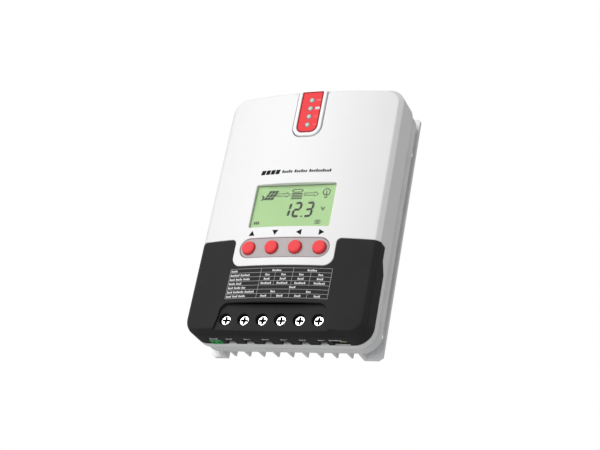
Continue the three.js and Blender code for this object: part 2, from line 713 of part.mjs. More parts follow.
// The plug's two poles each have a screw well in front and a wire hole below.
function tempPlug() {
  const poleHalf = PLUG_POLE_HALF;
  const body = block(
    PLUG_X - PLUG_HALF_W,
    PLUG_X + PLUG_HALF_W,
    PLUG_FRONT_Y,
    PLUG_REAR_Y,
    PLUG_LOW_Z,
    PLUG_TOP_Z,
  );
  const holes = [-1, 1].flatMap((side) => {
    const x = PLUG_X + side * (PLUG_HALF_W / 2);
    return [
      rod(poleHalf, PLUG_FRONT_Y - 1, PLUG_FRONT_Y + 1, x, PLUG_SCREW_Z, 12),
      block(x - poleHalf, x + poleHalf, ...PLUG_WIRE_Y, PLUG_LOW_Z - 1, PLUG_WIRE_TOP_Z),
    ];
  });
  return cut(body, holes);
}

function tempSocket() {
  return block(
    PLUG_X - PLUG_HALF_W,
    PLUG_X + PLUG_HALF_W,
    PLUG_FRONT_Y,
    MAIN_BOARD_Y - SMALL_GAP,
    PLUG_TOP_Z + SMALL_GAP,
    TEMP_SOCKET_TOP_Z,
  );
}

function serialSocket() {
  const across = (half) => [SERIAL_X - half, SERIAL_X + half];
  const rear = LEDGE_Y - 0.5;
  const body = block(...across(SERIAL_HALF_W), SERIAL_FRONT_Y, rear, SERIAL_LOW_Z, SERIAL_TOP_Z);
  const wayX = across(SERIAL_WAY_HALF_W);
  return cut(body, [block(...wayX, ...SERIAL_WAY_Y, SERIAL_LOW_Z - 1, SERIAL_WAY_TOP_Z)]);
}

function serialContacts() {
  return block(
    SERIAL_X - CONTACTS_HALF_W,
    SERIAL_X + CONTACTS_HALF_W,
    CONTACTS_FRONT_Y,
    SERIAL_WAY_Y[1] - SMALL_GAP,
    CONTACTS_LOW_Z,
    SERIAL_WAY_TOP_Z - SMALL_GAP,
  );
}

function mainBoard() {
  const outline = roundedBox(...MAIN_BOARD_X, ...MAIN_BOARD_Z, 3);
  const board = slab(outline, MAIN_BOARD_Y, MAIN_BOARD_Y + BOARD_THICK);
  const aroundBosses = BOSS_X.flatMap((x) => [BOSS_UPPER_Z, BOSS_LOWER_Z].map((z) => {
    return rod(BOSS_R + 0.6, MAIN_BOARD_Y - 1, MAIN_BOARD_Y + BOARD_THICK + 1, x, z);
  }));
  return cut(board, aroundBosses);
}

// A flat ribbon that sags between the two boards.
function displayCable() {
  const front = DISPLAY_BOARD_Y + BOARD_THICK + SMALL_GAP;
  const rear = MAIN_BOARD_Y - SMALL_GAP;
  const halfW = 12;
  const high = -12;
  const thick = 0.9;
  const low = high - thick;
  const reach = 8;
  const sag = 9;
  const shape = new THREE.Shape();
  shape.moveTo(front, high);
  shape.bezierCurveTo(front + reach, high - sag, rear - reach, high - sag, rear, high);
  shape.lineTo(rear, low);
  shape.bezierCurveTo(rear - reach, low - sag, front + reach, low - sag, front, low);
  return beam(shape, -halfW, halfW, 8);
}

// A wound ring core, lying flat on the main board.
function inductor(x, z) {
  const inner = 9;
  const outer = 20;
  const edge = 2;
  const front = -46;
  const rear = MAIN_BOARD_Y - SMALL_GAP;
  const profile = [
    [inner, front + edge],
    [inner + edge, front],
    [outer - edge, front],
    [outer, front + edge],
    [outer, rear - edge],
    [outer - edge, rear],
    [inner + edge, rear],
    [inner, rear - edge],
    [inner, front + edge],
  ];
  return turned(profile, x, z, 18);
}

// A can with a crimped groove near its foot.
function capacitor(x, z) {
  const radius = 9;
  const edge = 0.8;
  const front = -49;
  const rear = MAIN_BOARD_Y - SMALL_GAP;
  const profile = [
    [0, front],
    [radius - edge, front],
    [radius, front + edge],
    [radius, rear - 4],
    [radius - edge, rear - 3],
    [radius, rear - 2],
    [radius, rear],
    [0, rear],
  ];
  return turned(profile, x, z, 14);
}

function thermalPad(side) {
  const x = side * POWER_X;
  return block(x - 7, x + 7, TRAY_FLOOR_Y - 0.8, TRAY_FLOOR_Y - 0.1, 0, 60);
}

function mosfet(side) {
  const x = side * POWER_X;
  return block(x - 6.5, x + 6.5, TRAY_FLOOR_Y - 6, TRAY_FLOOR_Y - 1, 20, 40);
}

function coverScrew(x, z) {
  const shaftR = BOSS_PILOT_R - SMALL_GAP;
  const headR = 2.8;
  const tip = BOSS_PILOT_FRONT_Y + 2;
  const headFront = TRAY_BACK_Y + SMALL_GAP;
  const headRear = headFront + 1.9;
  const profile = [
    [0, tip],
    [shaftR, tip],
    [shaftR, headFront],
    [headR, headFront],
    [headR, headRear - 0.8],
    [headR - 0.8, headRear],
    [0, headRear],
  ];
  return turned(profile, x, z, 10);
}

function standoff(x, z) {
  const front = MAIN_BOARD_Y + BOARD_THICK + SMALL_GAP;
  return rod(STANDOFF_R, front, TRAY_FLOOR_Y - SMALL_GAP, x, z, 6);
}

// ---------------------------------------------------------------- assembly
const controller = new THREE.Group();

function place(name, look, solid) {
  const material = new THREE.MeshStandardMaterial(look);
  const mesh = new THREE.Mesh(toGeometry(solid), material);
  mesh.name = name;
  controller.add(mesh);
}

place("heat_sink", FINISH.castAluminium, heatSink());
place("upper_cover", FINISH.whitePlastic, upperCover());
place("terminal_cover", FINISH.blackPlastic, terminalCover());

place("led_bezel", FINISH.whitePlastic, ledBezel());
place("led_label", FINISH.redPlastic, ledLabel());
lightZ.forEach((z, i) => place(`light_pipe_${i + 1}`, FINISH.lightPipe, lightPipe(z)));
place(
  "led_board",
  FINISH.boardGreen,
  block(
    -LED_BOARD_HALF_W,
    LED_BOARD_HALF_W,
    LED_BOARD_FRONT_Y,
    LED_BOARD_FRONT_Y + LED_BOARD_THICK,
    LED_BOARD_LOW_Z,
    LED_BOARD_TOP_Z,
  ),
);

const windowRear = LCD_WINDOW_Y + LCD_WINDOW_THICK;
const panelFront = windowRear + SMALL_GAP;
const lcdHalfW = LCD_HALF_W - SMALL_GAP;
const lcdOutline = roundedBox(
  -lcdHalfW,
  lcdHalfW,
  LCD_BOTTOM_Z + SMALL_GAP,
  LCD_TOP_Z - SMALL_GAP,
  LCD_CORNER,
);
place("lcd_window", FINISH.clearWindow, slab(lcdOutline, LCD_WINDOW_Y, windowRear));
place("lcd_panel", FINISH.lcdGreen, slab(lcdOutline, panelFront, panelFront + LCD_PANEL_THICK));

place("keypad_plate", FINISH.greyMembrane, keypadPlate());
KEY_NAMES.forEach((name, i) => {
  place(`button_${name}`, FINISH.redPlastic, key(keyX[i]));
  place(`tact_switch_${name}`, FINISH.nylonBlack, tactSwitch(keyX[i]));
});
place(
  "display_board",
  FINISH.boardGreen,
  block(
    -DISPLAY_BOARD_HALF_W,
    DISPLAY_BOARD_HALF_W,
    DISPLAY_BOARD_Y,
    DISPLAY_BOARD_Y + BOARD_THICK,
    ...DISPLAY_BOARD_Z,
  ),
);
place("display_cable", FINISH.ribbonGrey, displayCable());

place("main_board", FINISH.boardGreen, mainBoard());
place("terminal_block", FINISH.nylonBlack, terminalBlock());
terminalX.forEach((x, i) => {
  place(`terminal_screw_${i + 1}`, FINISH.steel, terminalScrew(x));
  place(`terminal_clamp_${i + 1}`, FINISH.steel, terminalClamp(x));
});
place("temp_plug", FINISH.nylonGreen, tempPlug());
place("temp_socket", FINISH.nylonGreen, tempSocket());
place("serial_socket", FINISH.nylonBlack, serialSocket());
place("serial_contacts", FINISH.nylonBeige, serialContacts());

INDUCTOR_PLACES.forEach(([x, z], i) => {
  place(`inductor_${i + 1}`, FINISH.ferrite, inductor(x, z));
});
CAPACITOR_X.forEach((x, i) => {
  place(`capacitor_${i + 1}`, FINISH.capacitor, capacitor(x, CAPACITOR_Z));
});
[["left", -1], ["right", 1]].forEach(([name, side]) => {
  place(`thermal_pad_${name}`, FINISH.padGrey, thermalPad(side));
  place(`mosfet_${name}`, FINISH.nylonBlack, mosfet(side));
});
STANDOFF_PLACES.forEach(([x, z], i) => {
  place(`standoff_${i + 1}`, FINISH.brass, standoff(x, z));
});
[BOSS_UPPER_Z, BOSS_LOWER_Z].forEach((z, row) => {
  BOSS_X.forEach((x, i) => {
    place(`cover_screw_${row * 2 + i + 1}`, FINISH.steel, coverScrew(x, z));
  });
});

export default controller;
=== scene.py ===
import json
import math

import bmesh
import bpy
import numpy as np
from mathutils import Matrix, Vector, geometry, kdtree


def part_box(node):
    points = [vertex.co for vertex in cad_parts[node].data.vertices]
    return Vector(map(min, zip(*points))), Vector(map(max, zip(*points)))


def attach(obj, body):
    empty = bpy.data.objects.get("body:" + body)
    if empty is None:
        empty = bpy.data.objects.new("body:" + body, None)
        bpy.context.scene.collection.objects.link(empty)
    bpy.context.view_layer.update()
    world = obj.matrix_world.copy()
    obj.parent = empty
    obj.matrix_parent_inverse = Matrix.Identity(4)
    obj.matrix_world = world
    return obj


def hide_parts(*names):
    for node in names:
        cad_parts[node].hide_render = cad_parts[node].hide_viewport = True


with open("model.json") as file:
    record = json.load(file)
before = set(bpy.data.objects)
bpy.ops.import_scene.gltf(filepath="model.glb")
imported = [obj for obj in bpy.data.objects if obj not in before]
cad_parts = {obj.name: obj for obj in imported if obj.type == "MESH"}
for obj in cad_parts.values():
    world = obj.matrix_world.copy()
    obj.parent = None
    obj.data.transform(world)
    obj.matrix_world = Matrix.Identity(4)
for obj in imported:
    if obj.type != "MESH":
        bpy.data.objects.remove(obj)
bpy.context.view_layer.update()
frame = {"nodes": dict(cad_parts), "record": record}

# The visual model of a wall-mounted charge controller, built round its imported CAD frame.
# Lengths are in millimetres, in the object's own frame, until a mesh is written in metres.

MM = 0.001
CLEAR = 0.02  # pieces stay this far inside the faces of the nodes that they replace


def corners(node):
    low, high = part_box(node)
    return np.array(low) / MM, np.array(high) / MM


def midpoint(node):
    low, high = corners(node)
    return (low + high) / 2


def inner_box(node):
    """x0, x1, y0, y1, z0, z1 of a box just inside the node's."""
    low, high = corners(node)
    return [v for pair in zip(low + CLEAR, high - CLEAR) for v in pair]


# ---------------------------------------------------------------- sizes
# The housing: a crowned front, a bevel round it and straight walls.
cover_low, cover_high = corners("upper_cover")
sink_low, sink_high = corners("heat_sink")
HALF_W = cover_high[0] - CLEAR
HALF_H = cover_high[2] - CLEAR
FRONT_Y = cover_low[1] + CLEAR
LEDGE_Y = sink_low[1]
REAR_Y = LEDGE_Y - 0.2

CORNER = 16
BEVEL = 4
CROWN = 8
BEVEL_Y = FRONT_Y + CROWN + BEVEL
FLAT_W = HALF_W - BEVEL
FLAT_H = HALF_H - BEVEL
FLAT_R = CORNER - BEVEL
SKIN = 2.2
COVER_FILLET = 0.5
WINDOW_HALF_W = 38.6
WINDOW_Z = (-21, 21.8)
WINDOW_R = 1.7
PANE_R = 1.5
COLLAR_WALL = 0.9
COLLAR_REAR_Y = corners("lcd_panel")[0][1]

# The parting line between the white and the black cover.
TERMINAL_REAR_Y = -35.2
SHOULDER_REAR_Y = -41.6
SHOULDER_Z = -32
SHOULDER_R = 4.5
SHOULDER_LOW_Z = -45
RAMP_LOW_Z = -56
TAB_HALF_W = 48
TAB_BOTTOM_Z = -58.6
TAB_R = 9
SEAM_GAP = 0.35

# The pocket over the terminal screws.
POCKET_FLOOR_Y = -59
POCKET_TOP_Z = -93.2
POCKET_TOP_HALF_W = 50.5
POCKET_BOTTOM_HALF_W = 54
POCKET_CORNER = 8
POCKET_FLOOR_THICK = 2.5
POCKET_SIDE_Z = -105
POCKET_FOOT_POINTS = 55  # points along the foot's edge, on the bevel
SCREW_WELL_R = 5.5

# The openings in the end wall.
terminal_x = [midpoint(f"terminal_screw_{i + 1}")[0] for i in range(6)]
TERMINAL_Z = midpoint("terminal_screw_1")[2]
WIRE_Y = -38.9
WIRE_R = 3.9
WIRE_REAR_Y = -34.65
PLUG_X = -58.8
PLUG_NOTCH_HALF = 6.1
PLUG_NOTCH_Y = (-43.8, -34.2)
SERIAL_X = 59
SERIAL_NOTCH_HALF = 7.3
SERIAL_NOTCH_Y = (-44.8, -34)

# The keys, lights, screws and other small parts.
KEY_NAMES = ("up", "down", "left", "right")
key_x = [midpoint(f"button_{name}")[0] for name in KEY_NAMES]
KEYPAD_Z = midpoint("keypad_plate")[2]
KEYPAD_HOLE = (42.7, 9.6)  # half width and half height
light_z = [midpoint(f"light_pipe_{i + 1}")[2] for i in range(4)]

STRIP_HALF_W = corners("led_bezel")[1][0]
STRIP_LOW_Z = corners("led_bezel")[0][2]
STRIP_R = 9.5
STRIP_GAP = 0.85
STRIP_HOLE_TOP_Z = 116.3
LABEL_R = 6.5
LABEL_GAP = 0.3
KEY_R = 5.97
KEY_HOLE_R = 6.35
KEY_FLANGE_R = 6.96
KEY_FLANGE_REACH = 7  # where the flange's depth under the crown is taken
KEY_FLANGE_DEPTH = 2.72
KEY_FLANGE_THICK = 0.94
KEY_STEM_R = 1.78
MEMBRANE_INSET = 0.25
MEMBRANE_DEPTH = (0.52, 2.38)
LENS_R = 2.45
LENS_FOOT_R = 3.35
LENS_STEM_R = 1.95
SCREW_HEAD_R = 4.38
CROSS_HALF_W = 0.85
CROSS_REACH = 3.3
THREAD_R = 2.18
THREAD_DEPTH = 0.35
THREAD_STEP = 0.4
GUIDE_HALF = 4.2
GUIDE_FRONT_Y = -35.9
GUIDE_LOW_Z = -119.8
GUIDE_TOP_Z = -115.6
CAGE_WAY_HALF = 3.4
CAGE_WAY_FRONT_Y = -42.4
CAGE_WAY_REAR_Y = -35.4
CAGE_WAY_R = 0.6
CAGE_R = 0.7
CAGE_HOLE_R = 2.5
PLUG_SPLIT = 0.12
PLUG_HOLE_HALF = 1.7
PLUG_HOLE_Y = (-40.4, -36.6)
PLUG_HOLE_DEPTH = 4.5
SERIAL_WAY_HALF = 5.2
SERIAL_WAY_Y = (-43, -35)
SERIAL_WAY_DEPTH = 11.8

# The heat sink: a tray with a lip, fins, and two flanges with rails.
GROOVE = 1.1
LIP_GROOVE = 1.9
TRAY_WALL = 3.5
LIP_Y = -21.5
TRAY_FLOOR_Y = -18.5
TRAY_BACK_Y = -13.5
TRAY_HALF_H = 118.7
TRAY_R = 16
FLANGE_HALF_W = 82.4
FLANGE_HALF_H = 119.6
FLANGE_INNER = 65.4
FLANGE_THICK = 3
KEYHOLE_X = 75
KEYHOLE_Z = 90
RAIL_X = (65, 68.5)
RAIL_INSET = 0.06  # keeps the rails' faces off the flanges' faces
FIN_CENTRE_X = -1.5
FIN_PITCH = 14
FIN_HALF_H = 118.18
FIN_TIP_DEPTH = 1.52
FIN_TIP_R = 1
FIN_ROOT_HALF = 1.5
ROOT_DEPTH = 14.3  # fins and rails run this far forward
REAR_SHANK_R = 1.18
REAR_HEAD_Y = -13.18

# ---------------------------------------------------------------- outlines
# A loop is an N x 2 array of points, anticlockwise as the front is faced.


def arc(x, z, radius, start, end, step=0.7):
    """Points on an arc; the angles are in degrees."""
    count = max(3, math.ceil(abs(math.radians(end - start)) * radius / step))
    angle = np.radians(np.linspace(start, end, count + 1))
    return np.column_stack([x + radius * np.cos(angle), z + radius * np.sin(angle)])


def closed(*stretches, step=3.0):
    """One loop from stretches of points, with its long edges divided."""
    points = np.vstack([np.atleast_2d(np.array(s, float)) for s in stretches])
    keep = np.linalg.norm(points - np.roll(points, 1, axis=0), axis=1) > 1e-4
    points = points[keep]
    loop = []
    for a, b in zip(points, np.roll(points, -1, axis=0)):
        count = max(1, math.ceil(np.linalg.norm(b - a) / step))
        loop.extend(a + (b - a) * k / count for k in range(count))
    return np.array(loop)


def rounded_box(x0, x1, z0, z1, radius, step=3.0):
    return closed(
        arc(x1 - radius, z0 + radius, radius, -90, 0),
        arc(x1 - radius, z1 - radius, radius, 0, 90),
        arc(x0 + radius, z1 - radius, radius, 90, 180),
        arc(x0 + radius, z0 + radius, radius, 180, 270),
        step=step,
    )


def circle(x, z, radius, count=40):
    angle = np.arange(count) * 2 * math.pi / count
    return np.column_stack([x + radius * np.cos(angle), z + radius * np.sin(angle)])


def tongue(half_w, bottom, top, radius):
    """Square at the top and rounded at the bottom."""
    return closed(
        [(half_w, top), (-half_w, top)],
        arc(-half_w + radius, bottom + radius, radius, 180, 270),
        arc(half_w - radius, bottom + radius, radius, -90, 0),
    )


def stadium(half_w, half_h, z):
    return rounded_box(-half_w, half_w, z - half_h, z + half_h, half_h)


def unit(v):
    return v / np.maximum(np.linalg.norm(v, axis=1, keepdims=True), 1e-12)


def offset(loop, distance):
    """The loop moved to its left, which is inwards, by one distance or one for each point."""
    before = unit(loop - np.roll(loop, 1, axis=0))
    after = unit(np.roll(loop, -1, axis=0) - loop)
    left = np.column_stack([-before[:, 1], before[:, 0]])
    right = np.column_stack([-after[:, 1], after[:, 0]])
    middle = unit(left + right)
    stretch = 1 / np.maximum((middle * left).sum(1), 0.4)
    return loop + middle * (np.broadcast_to(distance, len(loop)) * stretch)[:, None]


def inside(points, loop):
    """Whether each point is inside the loop."""
    x, z = points[:, 0][:, None], points[:, 1][:, None]
    x0, z0 = loop[:, 0][None], loop[:, 1][None]
    x1, z1 = np.roll(loop[:, 0], -1)[None], np.roll(loop[:, 1], -1)[None]
    rise = np.where(z1 == z0, 1e-12, z1 - z0)
    crosses = ((z0 > z) != (z1 > z)) & (x < x0 + (z - z0) * (x1 - x0) / rise)
    return crosses.sum(1) % 2 == 1


# ---------------------------------------------------------------- surfaces
# A surface turns points of a flat plan, and a depth under the surface, into points in space.
BEVEL_SPAN = 8  # the bevel's width in the unfolded plan of the housing
SOFT = 0.8  # half the width over which one face of the housing turns into the next


def flat(front_y):
    def surface(plan, depth):
        return np.column_stack([plan[:, 0], front_y + np.broadcast_to(depth, len(plan)), plan[:, 1]])

    return surface


def ramp(d):
    return np.where(d < -SOFT, 0, np.where(d > SOFT, d, (d + SOFT) ** 2 / (4 * SOFT)))


def crown(x):
    return FRONT_Y + CROWN * (x / FLAT_W) ** 2


def outside_flat(plan):
    """How far each plan point is outside the front's edge, and its corner centre and direction."""
    size = np.abs(plan)
    centre = np.minimum(size, [FLAT_W - FLAT_R, FLAT_H - FLAT_R])
    away = size - centre
    reach = np.linalg.norm(away, axis=1)
    return reach - FLAT_R, centre, away / np.maximum(reach, 1e-9)[:, None]


def housing(plan, depth):
    """The housing's outside, unfolded: past the front's edge the plan runs over the bevel and the wall."""
    d, centre, away = outside_flat(plan)
    on_bevel = ramp(d) - ramp(d - BEVEL_SPAN)
    on_wall = ramp(d - BEVEL_SPAN)
    turn = np.clip((d + SOFT) / (BEVEL_SPAN + 2 * SOFT), 0, 1)
    slope = math.pi / 2 * turn * turn * (3 - 2 * turn)
    out = d - ramp(d) + on_bevel * BEVEL / BEVEL_SPAN - depth * np.sin(slope)
    edge = centre + away * (FLAT_R + np.minimum(d, 0))[:, None]
    start = crown(edge[:, 0])
    y = start + (BEVEL_Y - start) * on_bevel / BEVEL_SPAN + on_wall + depth * np.cos(slope)
    spot = np.sign(plan) * (centre + away * (FLAT_R + out)[:, None])
    inner = d < -SOFT
    x = np.where(inner, plan[:, 0], spot[:, 0])
    z = np.where(inner, plan[:, 1], spot[:, 1])
    return np.column_stack([x, y, z])


def plan_reach(y):
    """How far outside the front's edge, in the plan, the wall has reached depth y."""
    return BEVEL_SPAN + y - BEVEL_Y


def housing_grid():
    """Plan points that let a mesh follow the crown, the bevel and the walls."""
    half_w, half_h, rest = 78, 114, 0.1
    across, up = np.meshgrid(np.arange(-half_w, half_w + rest, 3), np.arange(-half_h, half_h + rest, 6))
    grid = np.column_stack([across.ravel(), up.ravel()])
    grid = grid[outside_flat(grid)[0] < -1.5]
    edge = rounded_box(-FLAT_W, FLAT_W, -FLAT_H, FLAT_H, FLAT_R)
    near = [-1, -0.5, 0, 0.5, 1]
    levels = [*near, BEVEL_SPAN / 2, *[BEVEL_SPAN + n for n in near]]
    levels += list(np.arange(BEVEL_SPAN + 4, plan_reach(REAR_Y), 4))
    return np.vstack([grid, *[offset(edge, -level) for level in levels]])


HOUSING_GRID = housing_grid()

# ---------------------------------------------------------------- meshes
SHARP_ANGLE = 38  # degrees; steeper turns between faces stay sharp


class Shell:
    """Vertices in millimetres and faces, added to bit by bit."""

    def __init__(self):
        self.points = []
        self.faces = []
        self.count = 0

    def add(self, points):
        start = self.count
        self.points.append(np.asarray(points, float).reshape(-1, 3))
        self.count += len(self.points[-1])
        return start

    def strip(self, rings):
        """Joins ring after ring of equal length with quads."""
        size = len(rings[0])
        starts = [self.add(ring) for ring in rings]
        for a, b in zip(starts, starts[1:]):
            for i in range(size):
                j = (i + 1) % size
                self.faces.append((a + i, b + i, b + j, a + j))
        return starts

    def merge(self, other):
        start = self.add(np.vstack(other.points))
        self.faces.extend(tuple(start + i for i in face) for face in other.faces)


def fill(loops, extra=None, clearance=0.3):
    """Triangles that fill the first loop, less the others, which run the other way round."""
    points = [tuple(p) for loop in loops for p in loop]
    edges = []
    start = 0
    for loop in loops:
        edges += [(start + i, start + (i + 1) % len(loop)) for i in range(len(loop))]
        start += len(loop)
    if extra is not None:
        keep = inside(extra, loops[0])
        for loop in loops[1:]:
            keep &= ~inside(extra, loop)
        tree = kdtree.KDTree(len(points))
        for i, p in enumerate(points):
            tree.insert((p[0], p[1], 0), i)
        tree.balance()
        points += [tuple(p) for p in extra[keep] if tree.find((p[0], p[1], 0))[2] > clearance]
    made = geometry.delaunay_2d_cdt([Vector(p) for p in points], edges, [], 0, 1e-7, True)
    plan = np.array([(v.x, v.y) for v in made[0]])
    place = {old: new for new, olds in enumerate(made[3]) for old in olds}
    faces = np.array([tuple(f) for f in made[2]])
    middles = plan[faces].mean(1)
    keep = inside(middles, loops[0])
    for loop in loops[1:]:
        keep &= ~inside(middles, loop)
    return plan, faces[keep], [place[i] for i in range(start)]


def rim(surface, loop, top, bottom, fillet, steps=4):
    """Rings from the fillet's start on the top face, round its edge and down to the bottom."""
    rings = []
    if fillet:
        for k in range(steps + 1):
            angle = math.pi / 2 * k / steps
            inset = fillet * (1 - math.sin(angle))
            rings.append(surface(offset(loop, inset), top + fillet * (1 - math.cos(angle))))
    else:
        rings.append(surface(loop, top))
    rings.append(surface(loop, bottom))
    return rings


def sheet(surface, outer, holes=(), top=0.0, bottom=2.0, fillet=0.5, support=0.4, extra=None, rims=None):
    """A closed sheet over a plan with holes, with rounded front edges."""
    shell = Shell()
    loops = [outer, *[hole[::-1] for hole in holes]]
    inset = fillet + support if fillet else 0
    inner = [offset(loop, inset) for loop in loops] if inset else loops
    plan, faces, place = fill(inner, extra)
    front = shell.add(surface(plan, top))
    back = shell.add(surface(plan, bottom))
    shell.faces.extend(tuple(front + i for i in face) for face in faces)
    shell.faces.extend(tuple(back + i for i in face[::-1]) for face in faces)
    start = 0
    for number, loop in enumerate(loops):
        size = len(loop)
        own = (rims or {}).get(number)
        rings = own(loop) if own else rim(surface, loop, top, bottom, fillet)
        starts = shell.strip(rings)
        ids = place[start : start + size]
        for i in range(size):
            j = (i + 1) % size
            first, last = starts[0], starts[-1]
            if inset or own:
                shell.faces.append((front + ids[i], first + i, first + j, front + ids[j]))
                shell.faces.append((last + i, back + ids[i], back + ids[j], last + j))
        start += size
    return shell


def turned(profile, x=0, z=0, count=48):
    """A body turned about a line along Y; the profile gives (radius, y), from axis to axis."""
    shell = Shell()
    angle = np.arange(count) * 2 * math.pi / count
    rings = []
    for radius, y in profile:
        rings.append(
            np.column_stack([x + radius * np.cos(angle), np.full(count, y), z + radius * np.sin(angle)])
        )
    shell.strip(rings)
    return shell


def lofted(outline, profile):
    """A closed body: outline(inset) gives a loop, and the profile gives (inset, y) from front to back."""
    shell = Shell()
    rings = []
    for inset, y in profile:
        loop = outline(inset)
        rings.append(np.column_stack([loop[:, 0], np.full(len(loop), y), loop[:, 1]]))
    starts = shell.strip(rings)
    for ring, start, flip in ((rings[0], starts[0], False), (rings[-1], starts[-1], True)):
        _, faces, place = fill([ring[:, [0, 2]]])
        back = {new: old for old, new in enumerate(place)}
        for face in faces:
            ids = tuple(start + back[i] for i in face)
            shell.faces.append(ids[::-1] if flip else ids)
    return shell


def end_face(low_z):
    """A surface that faces down: its plan is (x, -y), and its depth runs up from low_z."""

    def surface(plan, depth):
        return np.column_stack([plan[:, 0], -plan[:, 1], low_z + np.broadcast_to(depth, len(plan))])

    return surface


def rear_face(rear_y):
    """A surface that faces back: its plan is (-x, z), and its depth runs forward from rear_y."""

    def surface(plan, depth):
        return np.column_stack([-plan[:, 0], rear_y - np.broadcast_to(depth, len(plan)), plan[:, 1]])

    return surface


def soft_box(x0, x1, y0, y1, z0, z1, edge=0.4):
    """A box with rounded edges all round, made by rounding an outline and its front and back."""
    radius = min(edge * 1.6, (x1 - x0) / 2.2, (z1 - z0) / 2.2)
    base = rounded_box(x0, x1, z0, z1, radius)
    turn = [edge * (1 - math.cos(math.pi / 2 * k / 3)) for k in range(4)]
    rise = [edge * (1 - math.sin(math.pi / 2 * k / 3)) for k in range(4)]
    profile = [(rise[k], y0 + turn[k]) for k in range(4)]
    profile += [(rise[k], y1 - turn[k]) for k in range(3, -1, -1)]
    return lofted(lambda inset: offset(base, inset), profile)


def piece(name, shell, body, slot, material, replaces=()):
    mesh = bpy.data.meshes.new(name)
    points = np.vstack(shell.points) * MM
    mesh.from_pydata(points.tolist(), [], shell.faces)
    mesh.validate()
    obj = bpy.data.objects.new(name, mesh)
    bpy.context.scene.collection.objects.link(obj)
    merge_points(mesh)
    mesh.shade_smooth()
    mesh.set_sharp_from_angle(angle=math.radians(SHARP_ANGLE))
    mesh.materials.append(material)
    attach(obj, body)
    if replaces:
        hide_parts(*replaces)


SLOTS = {row["node"]: row["material_slot"] for row in frame["record"]["subparts"]}


def simple(name, shell, node, body="housing"):
    """A piece that replaces one node and takes the look of its slot."""
    slot = SLOTS[node]
    piece(name, shell, body, slot, LOOKS[slot], [node])


def merge_points(mesh):
    bm = bmesh.new()
    bm.from_mesh(mesh)
    bmesh.ops.remove_doubles(bm, verts=bm.verts, dist=1e-6)
    bmesh.ops.dissolve_degenerate(bm, edges=bm.edges, dist=1e-7)
    bm.to_mesh(mesh)
    bm.free()


# ---------------------------------------------------------------- materials
def node(tree, kind, place, **settings):
    made = tree.nodes.new(kind)
    made.location = place
    for key, value in settings.items():
        made.inputs[key].default_value = value
    return made


def finish(name, color, rough, metal=0.0, mottle=0.06, grain=900, bump=0.04, blotch=40, **sockets):
    """A finish with faint colour and gloss variation and a moulded or cast grain."""
    material = bpy.data.materials.new(name)
    material.use_nodes = True
    tree = material.node_tree
    shader = tree.nodes["Principled BSDF"]
    shader.inputs["Metallic"].default_value = metal
    for key, value in sockets.items():
        shader.inputs[key.replace("_", " ")].default_value = value
    coords = node(tree, "ShaderNodeTexCoord", (-900, 0))
    wide = node(tree, "ShaderNodeTexNoise", (-700, 200), Scale=blotch, Detail=4.0)
    fine = node(tree, "ShaderNodeTexNoise", (-700, -200), Scale=grain, Detail=3.0)
    tint = tree.nodes.new("ShaderNodeValToRGB")
    tint.location = (-450, 250)
    low = [c * (1 - mottle) for c in color]
    high = [min(1, c * (1 + mottle)) for c in color]
    tint.color_ramp.elements[0].color = (*low, 1)
    tint.color_ramp.elements[0].position = 0.3
    tint.color_ramp.elements[1].color = (*high, 1)
    tint.color_ramp.elements[1].position = 0.7
    gloss = tree.nodes.new("ShaderNodeMapRange")
    gloss.location = (-450, 0)
    gloss.inputs["To Min"].default_value = rough * 0.88
    gloss.inputs["To Max"].default_value = min(1, rough * 1.12)
    relief = node(tree, "ShaderNodeBump", (-250, -200), Strength=bump, Distance=0.0002)
    link = tree.links.new
    link(coords.outputs["Object"], wide.inputs["Vector"])
    link(coords.outputs["Object"], fine.inputs["Vector"])
    link(wide.outputs["Fac"], tint.inputs["Fac"])
    link(wide.outputs["Fac"], gloss.inputs["Value"])
    link(fine.outputs["Fac"], relief.inputs["Height"])
    link(tint.outputs["Color"], shader.inputs["Base Color"])
    link(gloss.outputs["Result"], shader.inputs["Roughness"])
    link(relief.outputs["Normal"], shader.inputs["Normal"])
    return material


